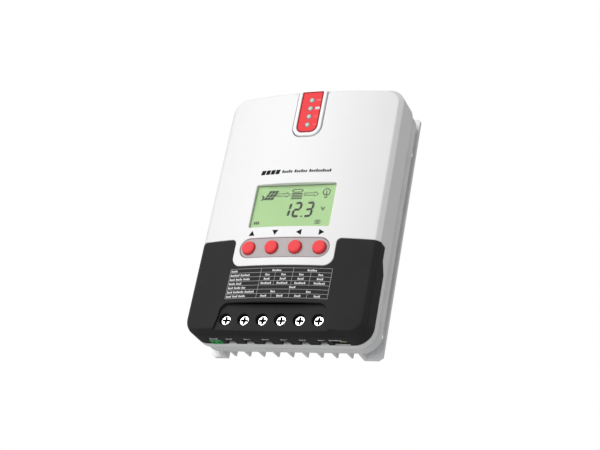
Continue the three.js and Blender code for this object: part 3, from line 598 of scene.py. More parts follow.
LOOKS = {
    "cast_aluminium": finish("cast_aluminium", (0.78, 0.785, 0.79), 0.45, 0.1, grain=1400, bump=0.2),
    "white_plastic": finish("white_plastic", (0.84, 0.84, 0.845), 0.42, mottle=0.008, bump=0.05),
    "black_plastic": finish(
        "black_plastic", (0.033, 0.033, 0.0334), 0.5, grain=2200, bump=0.12, Specular_IOR_Level=0.03
    ),
    "bezel_white": finish("bezel_white", (0.88, 0.88, 0.89), 0.28, mottle=0.01),
    "red_label": finish("red_label", (0.92, 0.06, 0.07), 0.55, mottle=0.02, Specular_IOR_Level=0.15),
    "light_pipe": finish("light_pipe", (0.42, 0.52, 0.48), 0.3, mottle=0.02),
    "clear_window": finish("clear_window", (0.9, 0.95, 0.9), 0.05, Alpha=0.04, bump=0.0),
    "lcd_green": finish("lcd_green", (0.43, 0.68, 0.30), 0.6, mottle=0.02, Specular_IOR_Level=0.1),
    "grey_membrane": finish(
        "grey_membrane", (0.50, 0.46, 0.465), 0.55, mottle=0.03, Specular_IOR_Level=0.2
    ),
    "red_plastic": finish("red_plastic", (0.92, 0.06, 0.07), 0.5, mottle=0.02, Specular_IOR_Level=0.2),
    "board_green": finish("board_green", (0.02, 0.13, 0.06), 0.45),
    "ribbon_grey": finish("ribbon_grey", (0.5, 0.51, 0.53), 0.6),
    "nylon_black": finish("nylon_black", (0.014, 0.014, 0.015), 0.5, bump=0.1, Specular_IOR_Level=0.1),
    "nylon_green": finish("nylon_green", (0.02, 0.36, 0.08), 0.4),
    "nylon_beige": finish("nylon_beige", (0.48, 0.43, 0.31), 0.5),
    "plated_steel": finish("plated_steel", (0.86, 0.87, 0.88), 0.2, 1.0, grain=700, bump=0.03),
    "clamp_metal": finish("clamp_metal", (0.52, 0.52, 0.53), 0.34, 1.0, grain=500, bump=0.08),
    "brass": finish("brass", (0.65, 0.5, 0.2), 0.3, 1.0),
    "wound_core": finish("wound_core", (0.35, 0.16, 0.08), 0.4, 0.6, mottle=0.2),
    "capacitor_can": finish("capacitor_can", (0.05, 0.06, 0.09), 0.35),
    "pad_grey": finish("pad_grey", (0.28, 0.3, 0.33), 0.8),
}
PRINT_DARK = finish("print_dark", (0.008, 0.008, 0.009), 0.6, mottle=0.1, Specular_IOR_Level=0.1)
PRINT_WHITE = finish("print_white", (0.7, 0.7, 0.7), 0.5, mottle=0.05)
PRINT_GREY = finish("print_grey", (0.42, 0.42, 0.42), 0.5, mottle=0.05)
PRINT_PINK = finish("print_pink", (0.95, 0.2, 0.2), 0.6, mottle=0.05, Specular_IOR_Level=0.1)
LCD_DARK = finish("lcd_dark", (0.018, 0.028, 0.015), 0.6, mottle=0.05, Specular_IOR_Level=0.1)
# A darker red for the label's raised rim: painted shade for the dark line where the bezel's inner wall
# meets the label.
PAINTED_SHADE_RED = finish("rim_red_painted_shade", (0.45, 0.02, 0.025), 0.6, mottle=0.05, Specular_IOR_Level=0.1)
GUIDE_GREY = finish("guide_grey", (0.62, 0.62, 0.63), 0.45, 0.2, grain=900)
# Near-black for the screws' cross recesses: painted shade inside the slot of the bright plated head.
RECESS_PAINTED_SHADE = finish("recess_painted_shade", (0.006, 0.006, 0.006), 0.7, mottle=0.2, Specular_IOR_Level=0.1)

for node_name, slot_name in SLOTS.items():
    cad = frame["nodes"][node_name]
    cad.data.materials.clear()
    cad.data.materials.append(LOOKS[slot_name])


# ---------------------------------------------------------------- covers
def end_plan(y):
    """The place of depth y on the end wall, in the unfolded plan."""
    return -FLAT_H - plan_reach(y)


def end_notches(gap):
    """The openings' share of the parting line along the end wall, from left to right."""
    line = end_plan(TERMINAL_REAR_Y - gap)
    lower = gap > 0
    wide = [(PLUG_X, PLUG_NOTCH_HALF, *PLUG_NOTCH_Y), (SERIAL_X, SERIAL_NOTCH_HALF, *SERIAL_NOTCH_Y)]
    notches = []
    for x, half, front, rear in wide:
        level = end_plan(front if lower else rear)
        notches.append([(x - half, line), (x - half, level), (x + half, level), (x + half, line)])
    for x in terminal_x:
        if lower:
            top = arc(x, end_plan(WIRE_Y), WIRE_R, 180, 0)
        else:
            top = [(x - WIRE_R, end_plan(WIRE_REAR_Y)), (x + WIRE_R, end_plan(WIRE_REAR_Y))]
        notches.append([(x - WIRE_R, line), *top, (x + WIRE_R, line)])
    return sorted(notches, key=lambda notch: notch[0][0])


def seam_plan(gap):
    """The terminal cover's outline in the unfolded plan, inset by gap."""
    rear = plan_reach(TERMINAL_REAR_Y - gap)
    shoulder = plan_reach(SHOULDER_REAR_Y - gap)
    top = SHOULDER_Z - gap
    half = TAB_HALF_W + gap
    bottom = TAB_BOTTOM_Z - gap
    tab_r = TAB_R + gap
    nose_r = SHOULDER_R - gap
    core_x, core_z = FLAT_W - FLAT_R, FLAT_H - FLAT_R
    right = [
        arc(core_x, -core_z, FLAT_R + rear, -90, 0),
        [(FLAT_W + rear, RAMP_LOW_Z), (FLAT_W + shoulder, SHOULDER_LOW_Z)],
        dense([(FLAT_W + shoulder, top), (FLAT_W - 2, top)]),
        arc(half + nose_r, top - nose_r, nose_r, 90, 180),
        arc(half - tab_r, bottom + tab_r, tab_r, 0, -90),
    ]
    left = [np.array(s)[::-1] * [-1, 1] for s in right[::-1]]
    return closed(*right, *left, *end_notches(gap))


def dense(points, step=0.5):
    """Points along a line, close together where it crosses the bevel."""
    a, b = (np.array(p, float) for p in points)
    count = math.ceil(np.linalg.norm(b - a) / step)
    return [a + (b - a) * k / count for k in range(count + 1)]


def pocket_plan():
    """The recess over the terminal screws, in the unfolded plan; its foot lies on the bevel."""
    top, half, radius = POCKET_TOP_Z, POCKET_TOP_HALF_W, POCKET_CORNER
    across = np.linspace(-POCKET_BOTTOM_HALF_W, POCKET_BOTTOM_HALF_W, POCKET_FOOT_POINTS)
    share = (POCKET_FLOOR_Y - crown(across)) / (BEVEL_Y - crown(across))
    foot = np.column_stack([across, -FLAT_H - share * BEVEL_SPAN])
    return closed(
        foot,
        dense([foot[-1], (half + 0.3, POCKET_SIDE_Z)]),
        arc(half - radius, top - radius, radius, 0, 90),
        arc(-half + radius, top - radius, radius, 90, 180),
        dense([(-half - 0.3, POCKET_SIDE_Z), foot[0]]),
    )


def collar(loop, depth, inset, rear_y):
    """Rings for an opening whose wall runs back past the sheet, to rear_y."""
    rings = rim(housing, loop, 0, depth, inset - 0.4)[:-1]
    for edge in (loop, offset(loop, inset)):
        rings.append(flat(rear_y)(edge, 0))
    return rings


def upper_cover():
    rear = plan_reach(REAR_Y)
    outer = rounded_box(-FLAT_W - rear, FLAT_W + rear, -FLAT_H - rear, FLAT_H + rear, FLAT_R + rear)
    strip_low_z = STRIP_LOW_Z - STRIP_GAP
    holes = [
        tongue(STRIP_HALF_W + STRIP_GAP, strip_low_z, STRIP_HOLE_TOP_Z, STRIP_R + STRIP_GAP),
        rounded_box(-WINDOW_HALF_W, WINDOW_HALF_W, *WINDOW_Z, WINDOW_R),
        stadium(*KEYPAD_HOLE, KEYPAD_Z),
        seam_plan(0),
    ]
    shell = sheet(
        housing,
        outer,
        holes,
        bottom=SKIN,
        fillet=COVER_FILLET,
        extra=HOUSING_GRID,
        rims={2: lambda loop: collar(loop, SKIN, COLLAR_WALL, COLLAR_REAR_Y)},
    )
    simple("cover_upper", shell, "upper_cover")


def terminal_cover():
    pocket = pocket_plan()
    share = np.ones(len(pocket))
    share[:POCKET_FOOT_POINTS] = 0
    share = share[::-1]

    def pocket_rim(loop):
        """Rounded everywhere but along the foot, where the pocket runs out on the bevel."""
        rings = []
        for k in range(5):
            angle = math.pi / 2 * k / 4
            inset = COVER_FILLET * (1 - math.sin(angle)) * share
            rings.append(housing(offset(loop, inset), COVER_FILLET * (1 - math.cos(angle)) * share))
        wall = housing(loop, 0)
        for y in (POCKET_FLOOR_Y, POCKET_FLOOR_Y + POCKET_FLOOR_THICK):
            rings.append(np.column_stack([wall[:, 0], np.full(len(wall), y), wall[:, 2]]))
        rings.append(housing(loop, SKIN))
        return rings

    shell = sheet(
        housing,
        seam_plan(SEAM_GAP),
        [pocket],
        bottom=SKIN,
        fillet=COVER_FILLET,
        extra=HOUSING_GRID,
        rims={1: pocket_rim},
    )
    edge = housing(pocket, 0)[:, [0, 2]]
    holes = [circle(x, TERMINAL_Z, SCREW_WELL_R) for x in terminal_x]
    shell.merge(
        sheet(flat(POCKET_FLOOR_Y), edge, holes, bottom=POCKET_FLOOR_THICK, fillet=0.3, support=0.2)
    )
    simple("cover_terminal", shell, "terminal_cover")


# ---------------------------------------------------------------- indicator strip
def strip_frame():
    """The bezel's outline: a U, open at the top."""
    _, half, _, _, bottom, top = inner_box("led_bezel")
    label_low, label_high = corners("led_label")
    inner, inner_bottom = label_high[0] + LABEL_GAP, label_low[2] - LABEL_GAP
    return closed(
        [(-half, top)],
        arc(-half + STRIP_R, bottom + STRIP_R, STRIP_R, 180, 270),
        arc(half - STRIP_R, bottom + STRIP_R, STRIP_R, 270, 360),
        [(half, top), (inner, top)],
        arc(inner - LABEL_R, inner_bottom + LABEL_R, LABEL_R, 0, -90),
        arc(-inner + LABEL_R, inner_bottom + LABEL_R, LABEL_R, -90, -180),
        [(-inner, top)],
    )


def indicator_strip():
    _, _, front, rear, _, _ = inner_box("led_bezel")
    shell = sheet(flat(front), strip_frame(), bottom=rear - front, fillet=0.9, support=0.3)
    simple("bezel_strip", shell, "led_bezel")
    _, half, front, rear, bottom, top = inner_box("led_label")
    film = tongue(half, bottom, top, LABEL_R)
    holes = [circle(0, z, LENS_R + 0.15) for z in light_z]
    shell = sheet(flat(front), film, holes, bottom=rear - front, fillet=0.2, support=0.2)
    simple("label_film", shell, "led_label")
    # A thin raised rim round the label in a darker red than the film: painted shade along the bezel's
    # inner wall.
    width, height = 0.35, 0.4
    rim_front = corners("led_label")[0][1] - height
    edge = sheet(flat(rim_front), film, [offset(film, width)], bottom=height - 0.01, fillet=0.1)
    piece("label_rim_painted_shade", edge, "housing", "red_label", PAINTED_SHADE_RED)
    for i, z in enumerate(light_z):
        front, rear = (c[1] for c in corners(f"light_pipe_{i + 1}"))
        face = [(0, 0), (1.2, 0.03), (1.8, 0.1), (2.15, 0.24), (2.36, 0.5), (LENS_R, 0.95)]
        dome = [(radius, front + CLEAR + y) for radius, y in face]
        foot = [(LENS_R, front + 3), (LENS_FOOT_R, front + 3.03), (LENS_FOOT_R, front + 4.1)]
        stem = [(LENS_STEM_R, front + 4.12), (LENS_STEM_R, rear - CLEAR), (0, rear - CLEAR)]
        simple(f"lens_{i + 1}", turned([*dome, *foot, *stem], 0, z), f"light_pipe_{i + 1}")


# ---------------------------------------------------------------- display
def display():
    for name, source, edge in (("window_pane", "lcd_window", 0.15), ("display_glass", "lcd_panel", 0.3)):
        x0, x1, y0, y1, z0, z1 = inner_box(source)
        plate = rounded_box(x0, x1, z0, z1, PANE_R)
        simple(name, sheet(flat(y0), plate, bottom=y1 - y0, fillet=edge, support=0.1), source)


def shape(*points):
    return np.array(points, float)


def bar(x0, x1, z0, z1):
    return closed([(x0, z0), (x1, z0), (x1, z1), (x0, z1)])


def dash(x0, x1, z, half):
    """A bar centred on height z."""
    return bar(x0, x1, z - half, z + half)


def lean(loop, z, slope=0.12):
    """The loop with its upper part pushed to the right about height z."""
    return loop + np.column_stack([(loop[:, 1] - z) * slope, np.zeros(len(loop))])


def printed(name, loops, slot, material, surface=housing, top=-0.05, bottom=0.12):
    """One thin piece made of many flat marks; each mark is a loop or (loop, [holes])."""
    shell = Shell()
    for mark in loops:
        outer, holes = mark if isinstance(mark, tuple) else (mark, [])
        shell.merge(sheet(surface, outer, holes, top=top, bottom=bottom, fillet=0))
    piece(name, shell, "housing", slot, material)


MARK_SHIFT = np.array((-1.3, 1.2))  # moves all the display's marks together
DIGIT_Z = -4
DIGIT_HALF_H = 7.65
ARROW_Z = 11.2
SEGMENTS = {1: "bc", 2: "abged", 3: "abgcd"}


def digit(x, z, half_h, value):
    """A seven-bar digit centred on x, z."""
    half_w, thick = half_h * 0.52, half_h * 0.145
    tip = thick * 0.7
    loops = []
    for letter in SEGMENTS[value]:
        if letter in "agd":
            level = {"a": half_h - thick, "g": 0, "d": -half_h + thick}[letter]
            a, b = -half_w + thick, half_w - thick
            points = [
                (a, level),
                (a + tip, level - thick),
                (b - tip, level - thick),
                (b, level),
                (b - tip, level + thick),
                (a + tip, level + thick),
            ]
        else:
            side = (half_w - thick) * (1 if letter in "bc" else -1)
            a, b = (0.0, half_h - thick) if letter in "bf" else (-half_h + thick, 0.0)
            a, b = a + thick * 0.3, b - thick * 0.3
            points = [
                (side, a),
                (side + thick, a + tip),
                (side + thick, b - tip),
                (side, b),
                (side - thick, b - tip),
                (side - thick, a + tip),
            ]
        loops.append(lean(shape(*points) + [x, z], z))
    return loops


def outlined(loop, width):
    """A loop as a thin line along its inner side."""
    return loop, [offset(loop, width)]


def arrow(x0, x1, z):
    body, head, reach = 1.4, 2.9, 3.8
    return shape(
        (x0, z - body),
        (x1 - reach, z - body),
        (x1 - reach, z - head),
        (x1, z),
        (x1 - reach, z + head),
        (x1 - reach, z + body),
        (x0, z + body),
    )


def moved(mark, shift):
    if isinstance(mark, tuple):
        return mark[0] + shift, [hole + shift for hole in mark[1]]
    return mark + shift


def display_marks():
    """A moon, a panel, arrows, a battery and a lamp over a number with a chevron after it."""
    marks = [
        *digit(-4.7, DIGIT_Z, DIGIT_HALF_H, 1),
        *digit(5.4, DIGIT_Z, DIGIT_HALF_H, 2),
        circle(10.6, -10.8, 0.85, 12),
        *digit(17, DIGIT_Z, DIGIT_HALF_H, 3),
        shape((27.8, -2), (30, -6), (32.2, -2), (31, -2), (30, -4), (29, -2)),
        closed(arc(-31.4, 8.5, 2.6, -120, 120), arc(-33.1, 8.5, 2.5, 65, -65), step=1),
        outlined(arrow(-17.6, -3.8, ARROW_Z), 0.55),
        outlined(arrow(9.6, 23.4, ARROW_Z), 0.55),
        outlined(closed(arc(30.8, 12.8, 3.7, -60, 240)), 0.8),
        *[bar(29.4, 32.2, 6.9 + 1.3 * k, 7.6 + 1.3 * k) for k in range(2)],
        bar(30.4, 31.2, 10.2, 14.2),
        *[bar(-2.6, 7.8, 6.6 + 1.7 * k, 7.6 + 1.7 * k) for k in range(4)],
        outlined(shape((-3.4, 15), (-0.8, 13.3), (6, 13.3), (8.6, 15), (6, 16.7), (-0.8, 16.7)), 0.7),
        *[bar(-34 + 1.9 * k, -32.7 + 1.9 * k, -17.8, -15.2) for k in range(3)],
        outlined(bar(24.6, 29.8, -18.4, -14.8), 0.6),
        bar(26.7, 27.7, -17.8, -15.4),
    ]
    for row in range(3):
        for column in range(3):
            x, z = -27 + 3.1 * column, 6.4 + 3.2 * row
            marks.append(lean(bar(x, x + 2.6, z, z + 2.7), 10.6, 0.55))
    panel_front = corners("lcd_panel")[0][1] + CLEAR
    marks = [moved(mark, MARK_SHIFT) for mark in marks]
    printed("display_segments", marks, "lcd_green", LCD_DARK, flat(panel_front), top=-0.09, bottom=0.02)


# ---------------------------------------------------------------- keypad
def keypad():
    low, high = corners("keypad_plate")
    half_w, half_h = high[0] - MEMBRANE_INSET, (high[2] - low[2]) / 2 - MEMBRANE_INSET
    holes = [circle(x, KEYPAD_Z, KEY_HOLE_R) for x in key_x]
    top, bottom = MEMBRANE_DEPTH
    plate = stadium(half_w, half_h, KEYPAD_Z)
    shell = sheet(
        housing, plate, holes, top, bottom, fillet=0.35, support=0.15, extra=HOUSING_GRID
    )
    simple("keypad_membrane", shell, "keypad_plate")
    face = [(0, 0), (0.5, 0.01), (0.82, 0.06), (0.88, 0.12), (0.93, 0.3), (0.97, 0.62)]
    face += [(0.995, 1.1), (1, 1.8)]
    for name, x in zip(KEY_NAMES, key_x):
        _, _, front, rear, _, _ = inner_box(f"button_{name}")
        flange = float(crown(abs(x) + KEY_FLANGE_REACH)) + KEY_FLANGE_DEPTH
        under = flange + KEY_FLANGE_THICK
        profile = [(KEY_R * share, front + y) for share, y in face]
        profile += [(KEY_R, flange), (KEY_FLANGE_R, flange), (KEY_FLANGE_R, under)]
        profile += [(KEY_STEM_R, under + 0.02), (KEY_STEM_R, rear), (0, rear)]
        simple(f"key_{name}", turned(profile, x, KEYPAD_Z, 64), f"button_{name}", f"button_{name}")


# ---------------------------------------------------------------- terminals
def cross(x, z, half_w, reach):
    a, b = half_w, reach
    right = [(a, -b), (a, -a), (b, -a), (b, a), (a, a), (a, b)]
    points = [*right[2:], *[(-u, -v) for u, v in right], *right[:2]]
    return closed(shape(*points) + [x, z], step=1.5)


def terminals():
    for i, x in enumerate(terminal_x):
        name = f"terminal_screw_{i + 1}"
        _, _, front, rear, _, _ = inner_box(name)
        radius = SCREW_HEAD_R
        head = circle(x, TERMINAL_Z, radius, 48)
        slot = cross(x, TERMINAL_Z, CROSS_HALF_W, CROSS_REACH)
        shell = sheet(flat(front), head, [slot], bottom=1.9, fillet=0.35, support=0.1)
        start = front + 3.1
        thread = [(THREAD_R - THREAD_DEPTH * (k % 2), start + THREAD_STEP * k) for k in range(24)]
        body = [(0, front + 1.6), (radius - 0.02, front + 1.6), (radius - 0.02, front + 2.5)]
        body += [(radius - 0.3, front + 2.78), *thread, (1.4, rear), (0, rear)]
        shell.merge(turned(body, x, TERMINAL_Z, 40))
        simple(f"clamp_screw_{i + 1}", shell, name, name)
        # A near-black liner over the cross recess's walls and floor: painted shade in the slot of the
        # plated screw head.
        shade_liner = sheet(flat(front + 0.12), slot, [offset(slot, 0.1)], bottom=1.5, fillet=0)
        shade_liner.merge(sheet(flat(front + 1.52), slot, bottom=0.1, fillet=0))
        piece(f"screw_recess_shade_{i + 1}", shade_liner, name, SLOTS[name], RECESS_PAINTED_SHADE)
        clamp_cage(i, x)


def clamp_cage(i, x):
    """A front plate with the screw's hole, and a channel behind it for the wire."""
    name = f"terminal_clamp_{i + 1}"
    x0, x1, y0, y1, z0, z1 = inner_box(name)
    front = rounded_box(x0, x1, z0, z1, CAGE_R)
    hole = circle(x, TERMINAL_Z, CAGE_HOLE_R, 32)
    plate = sheet(flat(y0), front, [hole], bottom=CAGE_WAY_FRONT_Y - y0, fillet=0.3, support=0.15)
    inner, back, r = CAGE_WAY_HALF, -CAGE_WAY_REAR_Y, CAGE_WAY_R
    front = -CAGE_WAY_FRONT_Y + 0.1
    channel = closed(
        [(x1, front), (x + inner, front)],
        arc(x + inner - r, back + r, r, 0, -90, 0.3),
        arc(x - inner + r, back + r, r, -90, -180, 0.3),
        [(x - inner, front), (x0, front)],
        arc(x0 + CAGE_R, -y1 + CAGE_R, CAGE_R, 180, 270, 0.3),
        arc(x1 - CAGE_R, -y1 + CAGE_R, CAGE_R, -90, 0, 0.3),
    )
    shell = sheet(end_face(z0), channel, bottom=z1 - z0, fillet=0.25, support=0.1)
    shell.merge(plate)
    simple(f"clamp_cage_{i + 1}", shell, name, name)
    sides = (x - GUIDE_HALF, x + GUIDE_HALF)
    guide = soft_box(*sides, GUIDE_FRONT_Y, LEDGE_Y, GUIDE_LOW_Z, GUIDE_TOP_Z, edge=0.2)
    piece(f"wire_guide_{i + 1}", guide, "housing", "clamp_metal", GUIDE_GREY)


def sockets():
    x0, x1, y0, y1, z0, z1 = inner_box("temp_plug")
    middle = (x0 + x1) / 2
    depth = PLUG_HOLE_DEPTH
    shell = Shell()
    for a, b in ((x0, middle - PLUG_SPLIT), (middle + PLUG_SPLIT, x1)):
        centre = (a + b) / 2
        body = rounded_box(a, b, -y1, -y0, 0.6)
        sides = (centre - PLUG_HOLE_HALF, centre + PLUG_HOLE_HALF)
        hole = rounded_box(*sides, -PLUG_HOLE_Y[1], -PLUG_HOLE_Y[0], 0.4)
        shell.merge(sheet(end_face(z0), body, [hole], bottom=depth + 0.1, fillet=0.3, support=0.15))
        shell.merge(sheet(end_face(z0 + depth), body, bottom=z1 - z0 - depth, fillet=0))
    simple("sensor_plug", shell, "temp_plug", "temp_plug")
    x0, x1, y0, y1, z0, z1 = inner_box("serial_socket")
    depth = SERIAL_WAY_DEPTH
    body = rounded_box(x0, x1, -y1, -y0, 0.5)
    sides = (SERIAL_X - SERIAL_WAY_HALF, SERIAL_X + SERIAL_WAY_HALF)
    way = rounded_box(*sides, -SERIAL_WAY_Y[1], -SERIAL_WAY_Y[0], 0.3)
    shell = sheet(end_face(z0), body, [way], bottom=depth + 0.1, fillet=0.25, support=0.15)
    shell.merge(sheet(end_face(z0 + depth), body, bottom=z1 - z0 - depth, fillet=0))
    simple("serial_jack", shell, "serial_socket")
    x0, x1, y0, y1, z0, z1 = inner_box("serial_contacts")
    shell = soft_box(x0, x1, y1 - 1.6, y1, z0, z1, edge=0.2)
    pitch = (x1 - x0) / 8
    for k in range(8):
        centre = x0 + pitch * (k + 0.5)
        shell.merge(soft_box(centre - 0.22, centre + 0.22, y0, y1 - 1.5, z0 + 0.3, z1, edge=0.12))
    simple("serial_comb", shell, "serial_contacts")


# ---------------------------------------------------------------- heat sink
def keyhole(x, z):
    """A round hole for a screw's head, with a slot above it."""
    half, head_r, rise = 2.5, 4.6, 8
    side = math.degrees(math.acos(half / head_r))
    return closed(arc(x, z, half, 0, 180, 0.4), arc(x, z - rise, head_r, 180 - side, 360 + side))


def tray():
    wall = GROOVE + TRAY_WALL
    profile = [
        (wall + 1, TRAY_FLOOR_Y),
        (wall + 0.3, TRAY_FLOOR_Y - 0.3),
        (wall, TRAY_FLOOR_Y - 1),
        (wall, LEDGE_Y + 0.3),
        (wall - 0.3, LEDGE_Y + CLEAR),
        (GROOVE + 0.3, LEDGE_Y + CLEAR),
        (GROOVE, LEDGE_Y + 0.3),
        (GROOVE, LIP_Y - 5.5),
        (LIP_GROOVE, LIP_Y - 3),
        (LIP_GROOVE, LIP_Y - 1),
        (LIP_GROOVE - 0.2, LIP_Y - 0.6),
        (0.4, LIP_Y + 0.6),
        (0.12, LIP_Y + 1),
        (CLEAR, LIP_Y + 1.6),
        (CLEAR, TRAY_BACK_Y - 1),
        (0.15, TRAY_BACK_Y - 0.5),
        (0.5, TRAY_BACK_Y - 0.15),
        (1, TRAY_BACK_Y),
    ]
    plate = rounded_box(-sink_high[0], sink_high[0], -TRAY_HALF_H, TRAY_HALF_H, TRAY_R)
    return lofted(lambda inset: offset(plate, inset), profile)


def heat_sink():
    shell = tray()
    for k in range(9):
        x = FIN_CENTRE_X + (k - 4) * FIN_PITCH
        tip = arc(x, FIN_TIP_DEPTH + FIN_TIP_R, FIN_TIP_R, 180, 360, 0.3)
        root = [(x + FIN_ROOT_HALF, ROOT_DEPTH), (x - FIN_ROOT_HALF, ROOT_DEPTH)]
        section = closed(root[1:], tip, root[:1], step=4)
        shell.merge(sheet(end_face(-FIN_HALF_H), section, bottom=2 * FIN_HALF_H, fillet=0.3, support=0.15))
    half_h = FLANGE_HALF_H - CLEAR
    for side in (-1, 1):
        inner, outer = FLANGE_INNER, FLANGE_HALF_W - CLEAR
        corners_xz = [
            (inner, -half_h),
            (outer - 4, -half_h),
            (outer, -half_h + 3),
            (outer, half_h - 2),
            (outer - 2, half_h),
            (inner, half_h),
        ]
        loop = np.array(corners_xz) * [side, 1]
        loop = closed(loop if side > 0 else loop[::-1])
        holes = [keyhole(side * KEYHOLE_X, z) for z in (-KEYHOLE_Z, KEYHOLE_Z)]
        front, thick = -FLANGE_THICK + CLEAR, FLANGE_THICK - 2 * CLEAR
        shell.merge(sheet(flat(front), loop, holes, bottom=thick, fillet=0.4, support=0.2))
        a, b = sorted(side * x for x in RAIL_X)
        rail = rounded_box(a, b, CLEAR + RAIL_INSET, ROOT_DEPTH, 0.4, step=4)
        rail_h = half_h - RAIL_INSET
        shell.merge(sheet(end_face(-rail_h), rail, bottom=2 * rail_h, fillet=0.3, support=0.15))
    simple("finned_base", shell, "heat_sink")


def rear_screws():
    for i in range(4):
        name = f"cover_screw_{i + 1}"
        x, _, z = midpoint(name)
        low, high = corners(name)
        radius, rear = (high[0] - low[0]) / 2 - CLEAR, high[1] - CLEAR
        head = circle(-x, z, radius, 36)
        slot = cross(-x, z, 0.4, 1.7)
        shell = sheet(rear_face(rear), head, [slot], bottom=1.1, fillet=0.5, support=0.1)
        shank = [(0, low[1] + CLEAR), (REAR_SHANK_R, low[1] + CLEAR), (REAR_SHANK_R, REAR_HEAD_Y)]
        under = [(radius, REAR_HEAD_Y), (radius, rear - 0.9), (0, rear - 0.9)]
        shell.merge(turned([*shank, *under], x, z, 36))
        simple(f"rear_screw_{i + 1}", shell, name)


# ---------------------------------------------------------------- printed marks
def letters(x, z, height, words, pitch, slope=0.0):
    """Plain blocks in place of letters, in words of the given lengths, from x on."""
    marks = []
    for length in words:
        for k in range(length):
            tall = height if k % 3 == 0 else height * 0.72
            marks.append(lean(bar(x, x + pitch * 0.74, z - height / 2, z - height / 2 + tall), z, slope))
            x += pitch
        x += pitch * 0.8
    return marks


def centred(x, z, height, words, pitch):
    width = pitch * (sum(words) + 0.8 * (len(words) - 1))
    return letters(x - width / 2, z, height, words, pitch)


def title():
    """Blocks where the name stood: a bold group, then a lighter one."""
    bold = ((-36.5, -32.4), (-31.6, -27.6), (-26.8, -22.8), (-22, -18))
    low, high, middle = 31.7, 36.1, 34
    marks = [lean(bar(a, b, low, high), middle, 0.25) for a, b in bold]
    marks += letters(-15.6, middle - 0.1, 2.9, (5, 6, 10), 2.1, 0.1)
    printed("title_bars", marks, "grey_membrane", PRINT_DARK)


def arrows():
    """A plain triangle above each key."""
    up = shape((-2.9, -2.4), (2.9, -2.4), (0, 2.6))
    marks = []
    for x, turn in ((-33.5, 0), (-10.6, 180), (12.1, 90), (33.1, -90)):
        angle = math.radians(turn)
        spin = np.array([[math.cos(angle), math.sin(angle)], [-math.sin(angle), math.cos(angle)]])
        marks.append(up @ spin + [x, -27])
    printed("arrow_marks", marks, "nylon_black", PRINT_DARK)


TABLE_HEADS = ((5,), (7, 7), (4, 5, 5), (5, 4), (4, 5, 3), (4, 8, 7), (4, 4, 5))
TABLE_CELLS = (6, 3, 4, 7, 4, 3, 4)


def table():
    left, right, top, bottom = -47, 49, -61.5, -89.5
    line = 0.14
    pitch = (top - bottom) / len(TABLE_HEADS)
    width = right - left
    stops = (0.319, 0.466, 0.637, 0.809)
    ruled = {0: stops[0:3:2], 4: stops[:1], 5: stops[0:3:2]}
    marks = [dash(left, right, top - k * pitch, line) for k in range(len(TABLE_HEADS) + 1)]
    marks += [bar(x - line, x + line, bottom + line, top - line) for x in (left, right)]
    entries = []
    for row, (head, cell) in enumerate(zip(TABLE_HEADS, TABLE_CELLS)):
        upper = top - row * pitch - line
        middle = upper - pitch / 2
        places = [left + share * width for share in ruled.get(row, stops)]
        marks += [bar(x - line, x + line, upper - pitch + 2 * line, upper) for x in places]
        entries += letters(left + 1, middle, 1.9, head, 1.3)
        for a, b in zip(places, [*places[1:], right]):
            entries += centred((a + b) / 2, middle, 1.9, (cell,), 1.45)
    printed("table_lines", marks, "white_plastic", PRINT_GREY)
    printed("table_entries", entries, "white_plastic", PRINT_WHITE)


def label_marks():
    front = corners("led_label")[0][1] + CLEAR
    faint = [
        dash(4.6, 9, light_z[0], 0.9),
        (dash(5, 8.4, light_z[2], 1.2), [dash(5.5, 7.9, light_z[2], 0.7)]),
        dash(5.2, 8.4, light_z[3], 0.5),
    ]
    printed("strip_marks", faint, "red_label", PRINT_PINK, flat(front), top=-0.05, bottom=0.05)
    white = [dash(4.7, 9, light_z[1], 1.3)]
    printed("strip_bar", white, "bezel_white", PRINT_WHITE, flat(front), top=-0.05, bottom=0.05)


def end_marks():
    """A word-like mark and a sign on the end wall in front of each opening."""
    level = end_plan(-46.4)
    marks = []
    for i, x in enumerate(terminal_x):
        marks += letters(x - 2, level, 1.9, (3,), 1.3)
        marks.append(dash(x + 2.2, x + 4, level, 0.3))
        if i % 2 == 0:
            marks += [dash(x + 2.8, x + 3.4, level + side * 0.75, 0.4) for side in (-1, 1)]
    marks += centred(PLUG_X + 0.6, level, 2, (4,), 2)
    marks += centred(SERIAL_X - 3, level, 2, (6,), 1.9)
    printed("end_marks", marks, "white_plastic", PRINT_WHITE)


upper_cover()
terminal_cover()
indicator_strip()
display()
display_marks()
keypad()
terminals()
sockets()
heat_sink()
rear_screws()
title()
arrows()
table()
label_marks()
end_marks()


# ---------------------------------------------------------------- camera, light and floor
# Places are in metres here.
CAMERA_PLACE = (0.5103, -1.0310, -0.5364)
CAMERA_FORWARD = (-0.41375, 0.80390, 0.42727)
CAMERA_UP = (0.02073, -0.46088, 0.88722)
CAMERA_LENS = 83.5
CAMERA_SHIFT = (-0.0005, 0.0038)
LIGHT_AIM = (0, -0.04, 0)
FLOOR_HALF = 12
FLOOR_Z = -1.1
SKY_LIGHT = 0.48  # the sky's strength as a light
SKY_SEEN = 1.0  # and as the background


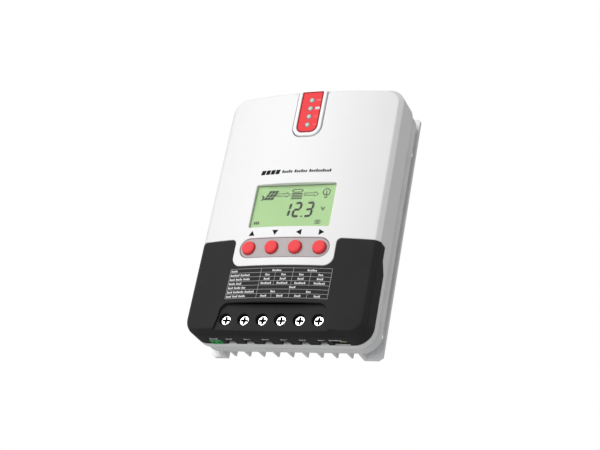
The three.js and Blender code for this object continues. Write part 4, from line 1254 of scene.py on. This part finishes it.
def camera():
    data = bpy.data.cameras.new("camera")
    data.lens = CAMERA_LENS
    data.sensor_width = 36
    data.shift_x, data.shift_y = CAMERA_SHIFT
    data.clip_end = 100
    made = bpy.data.objects.new("camera", data)
    forward = Vector(CAMERA_FORWARD).normalized()
    right = forward.cross(Vector(CAMERA_UP)).normalized()
    up = right.cross(forward)
    turn = Matrix((right, up, -forward)).transposed()
    made.matrix_world = Matrix.Translation(CAMERA_PLACE) @ turn.to_4x4()
    bpy.context.scene.collection.objects.link(made)
    bpy.context.scene.camera = made


def area_light(name, place, size, power):
    data = bpy.data.lights.new(name, "AREA")
    data.shape = "DISK"
    data.size = size
    data.energy = power
    made = bpy.data.objects.new(name, data)
    made.location = place
    made.rotation_euler = (Vector(LIGHT_AIM) - Vector(place)).to_track_quat("-Z", "Y").to_euler()
    bpy.context.scene.collection.objects.link(made)


def floor():
    mesh = bpy.data.meshes.new("floor")
    signs = ((-1, -1), (1, -1), (1, 1), (-1, 1))
    points = [(u * FLOOR_HALF, v * FLOOR_HALF, FLOOR_Z) for u, v in signs]
    mesh.from_pydata(points, [], [(0, 1, 2, 3)])
    made = bpy.data.objects.new("floor", mesh)
    look = finish("floor", (0.7, 0.7, 0.705), 0.7, mottle=0.01, grain=60, bump=0.02, blotch=2)
    mesh.materials.append(look)
    bpy.context.scene.collection.objects.link(made)


def sky():
    world = bpy.data.worlds.new("sky")
    bpy.context.scene.world = world
    world.use_nodes = True
    tree = world.node_tree
    background = tree.nodes["Background"]
    background.inputs["Color"].default_value = (1, 1, 1, 1)
    path = tree.nodes.new("ShaderNodeLightPath")
    level = tree.nodes.new("ShaderNodeMapRange")
    level.inputs["To Min"].default_value = SKY_LIGHT
    level.inputs["To Max"].default_value = SKY_SEEN
    tree.links.new(path.outputs["Is Camera Ray"], level.inputs["Value"])
    tree.links.new(level.outputs["Result"], background.inputs["Strength"])


camera()
floor()
sky()
area_light("key", place=(-1.8, -3.2, 1.8), size=2.6, power=91)
area_light("fill", place=(-0.3, -3.6, -1.1), size=1.2, power=20)
bpy.context.scene.view_settings.view_transform = "Standard"
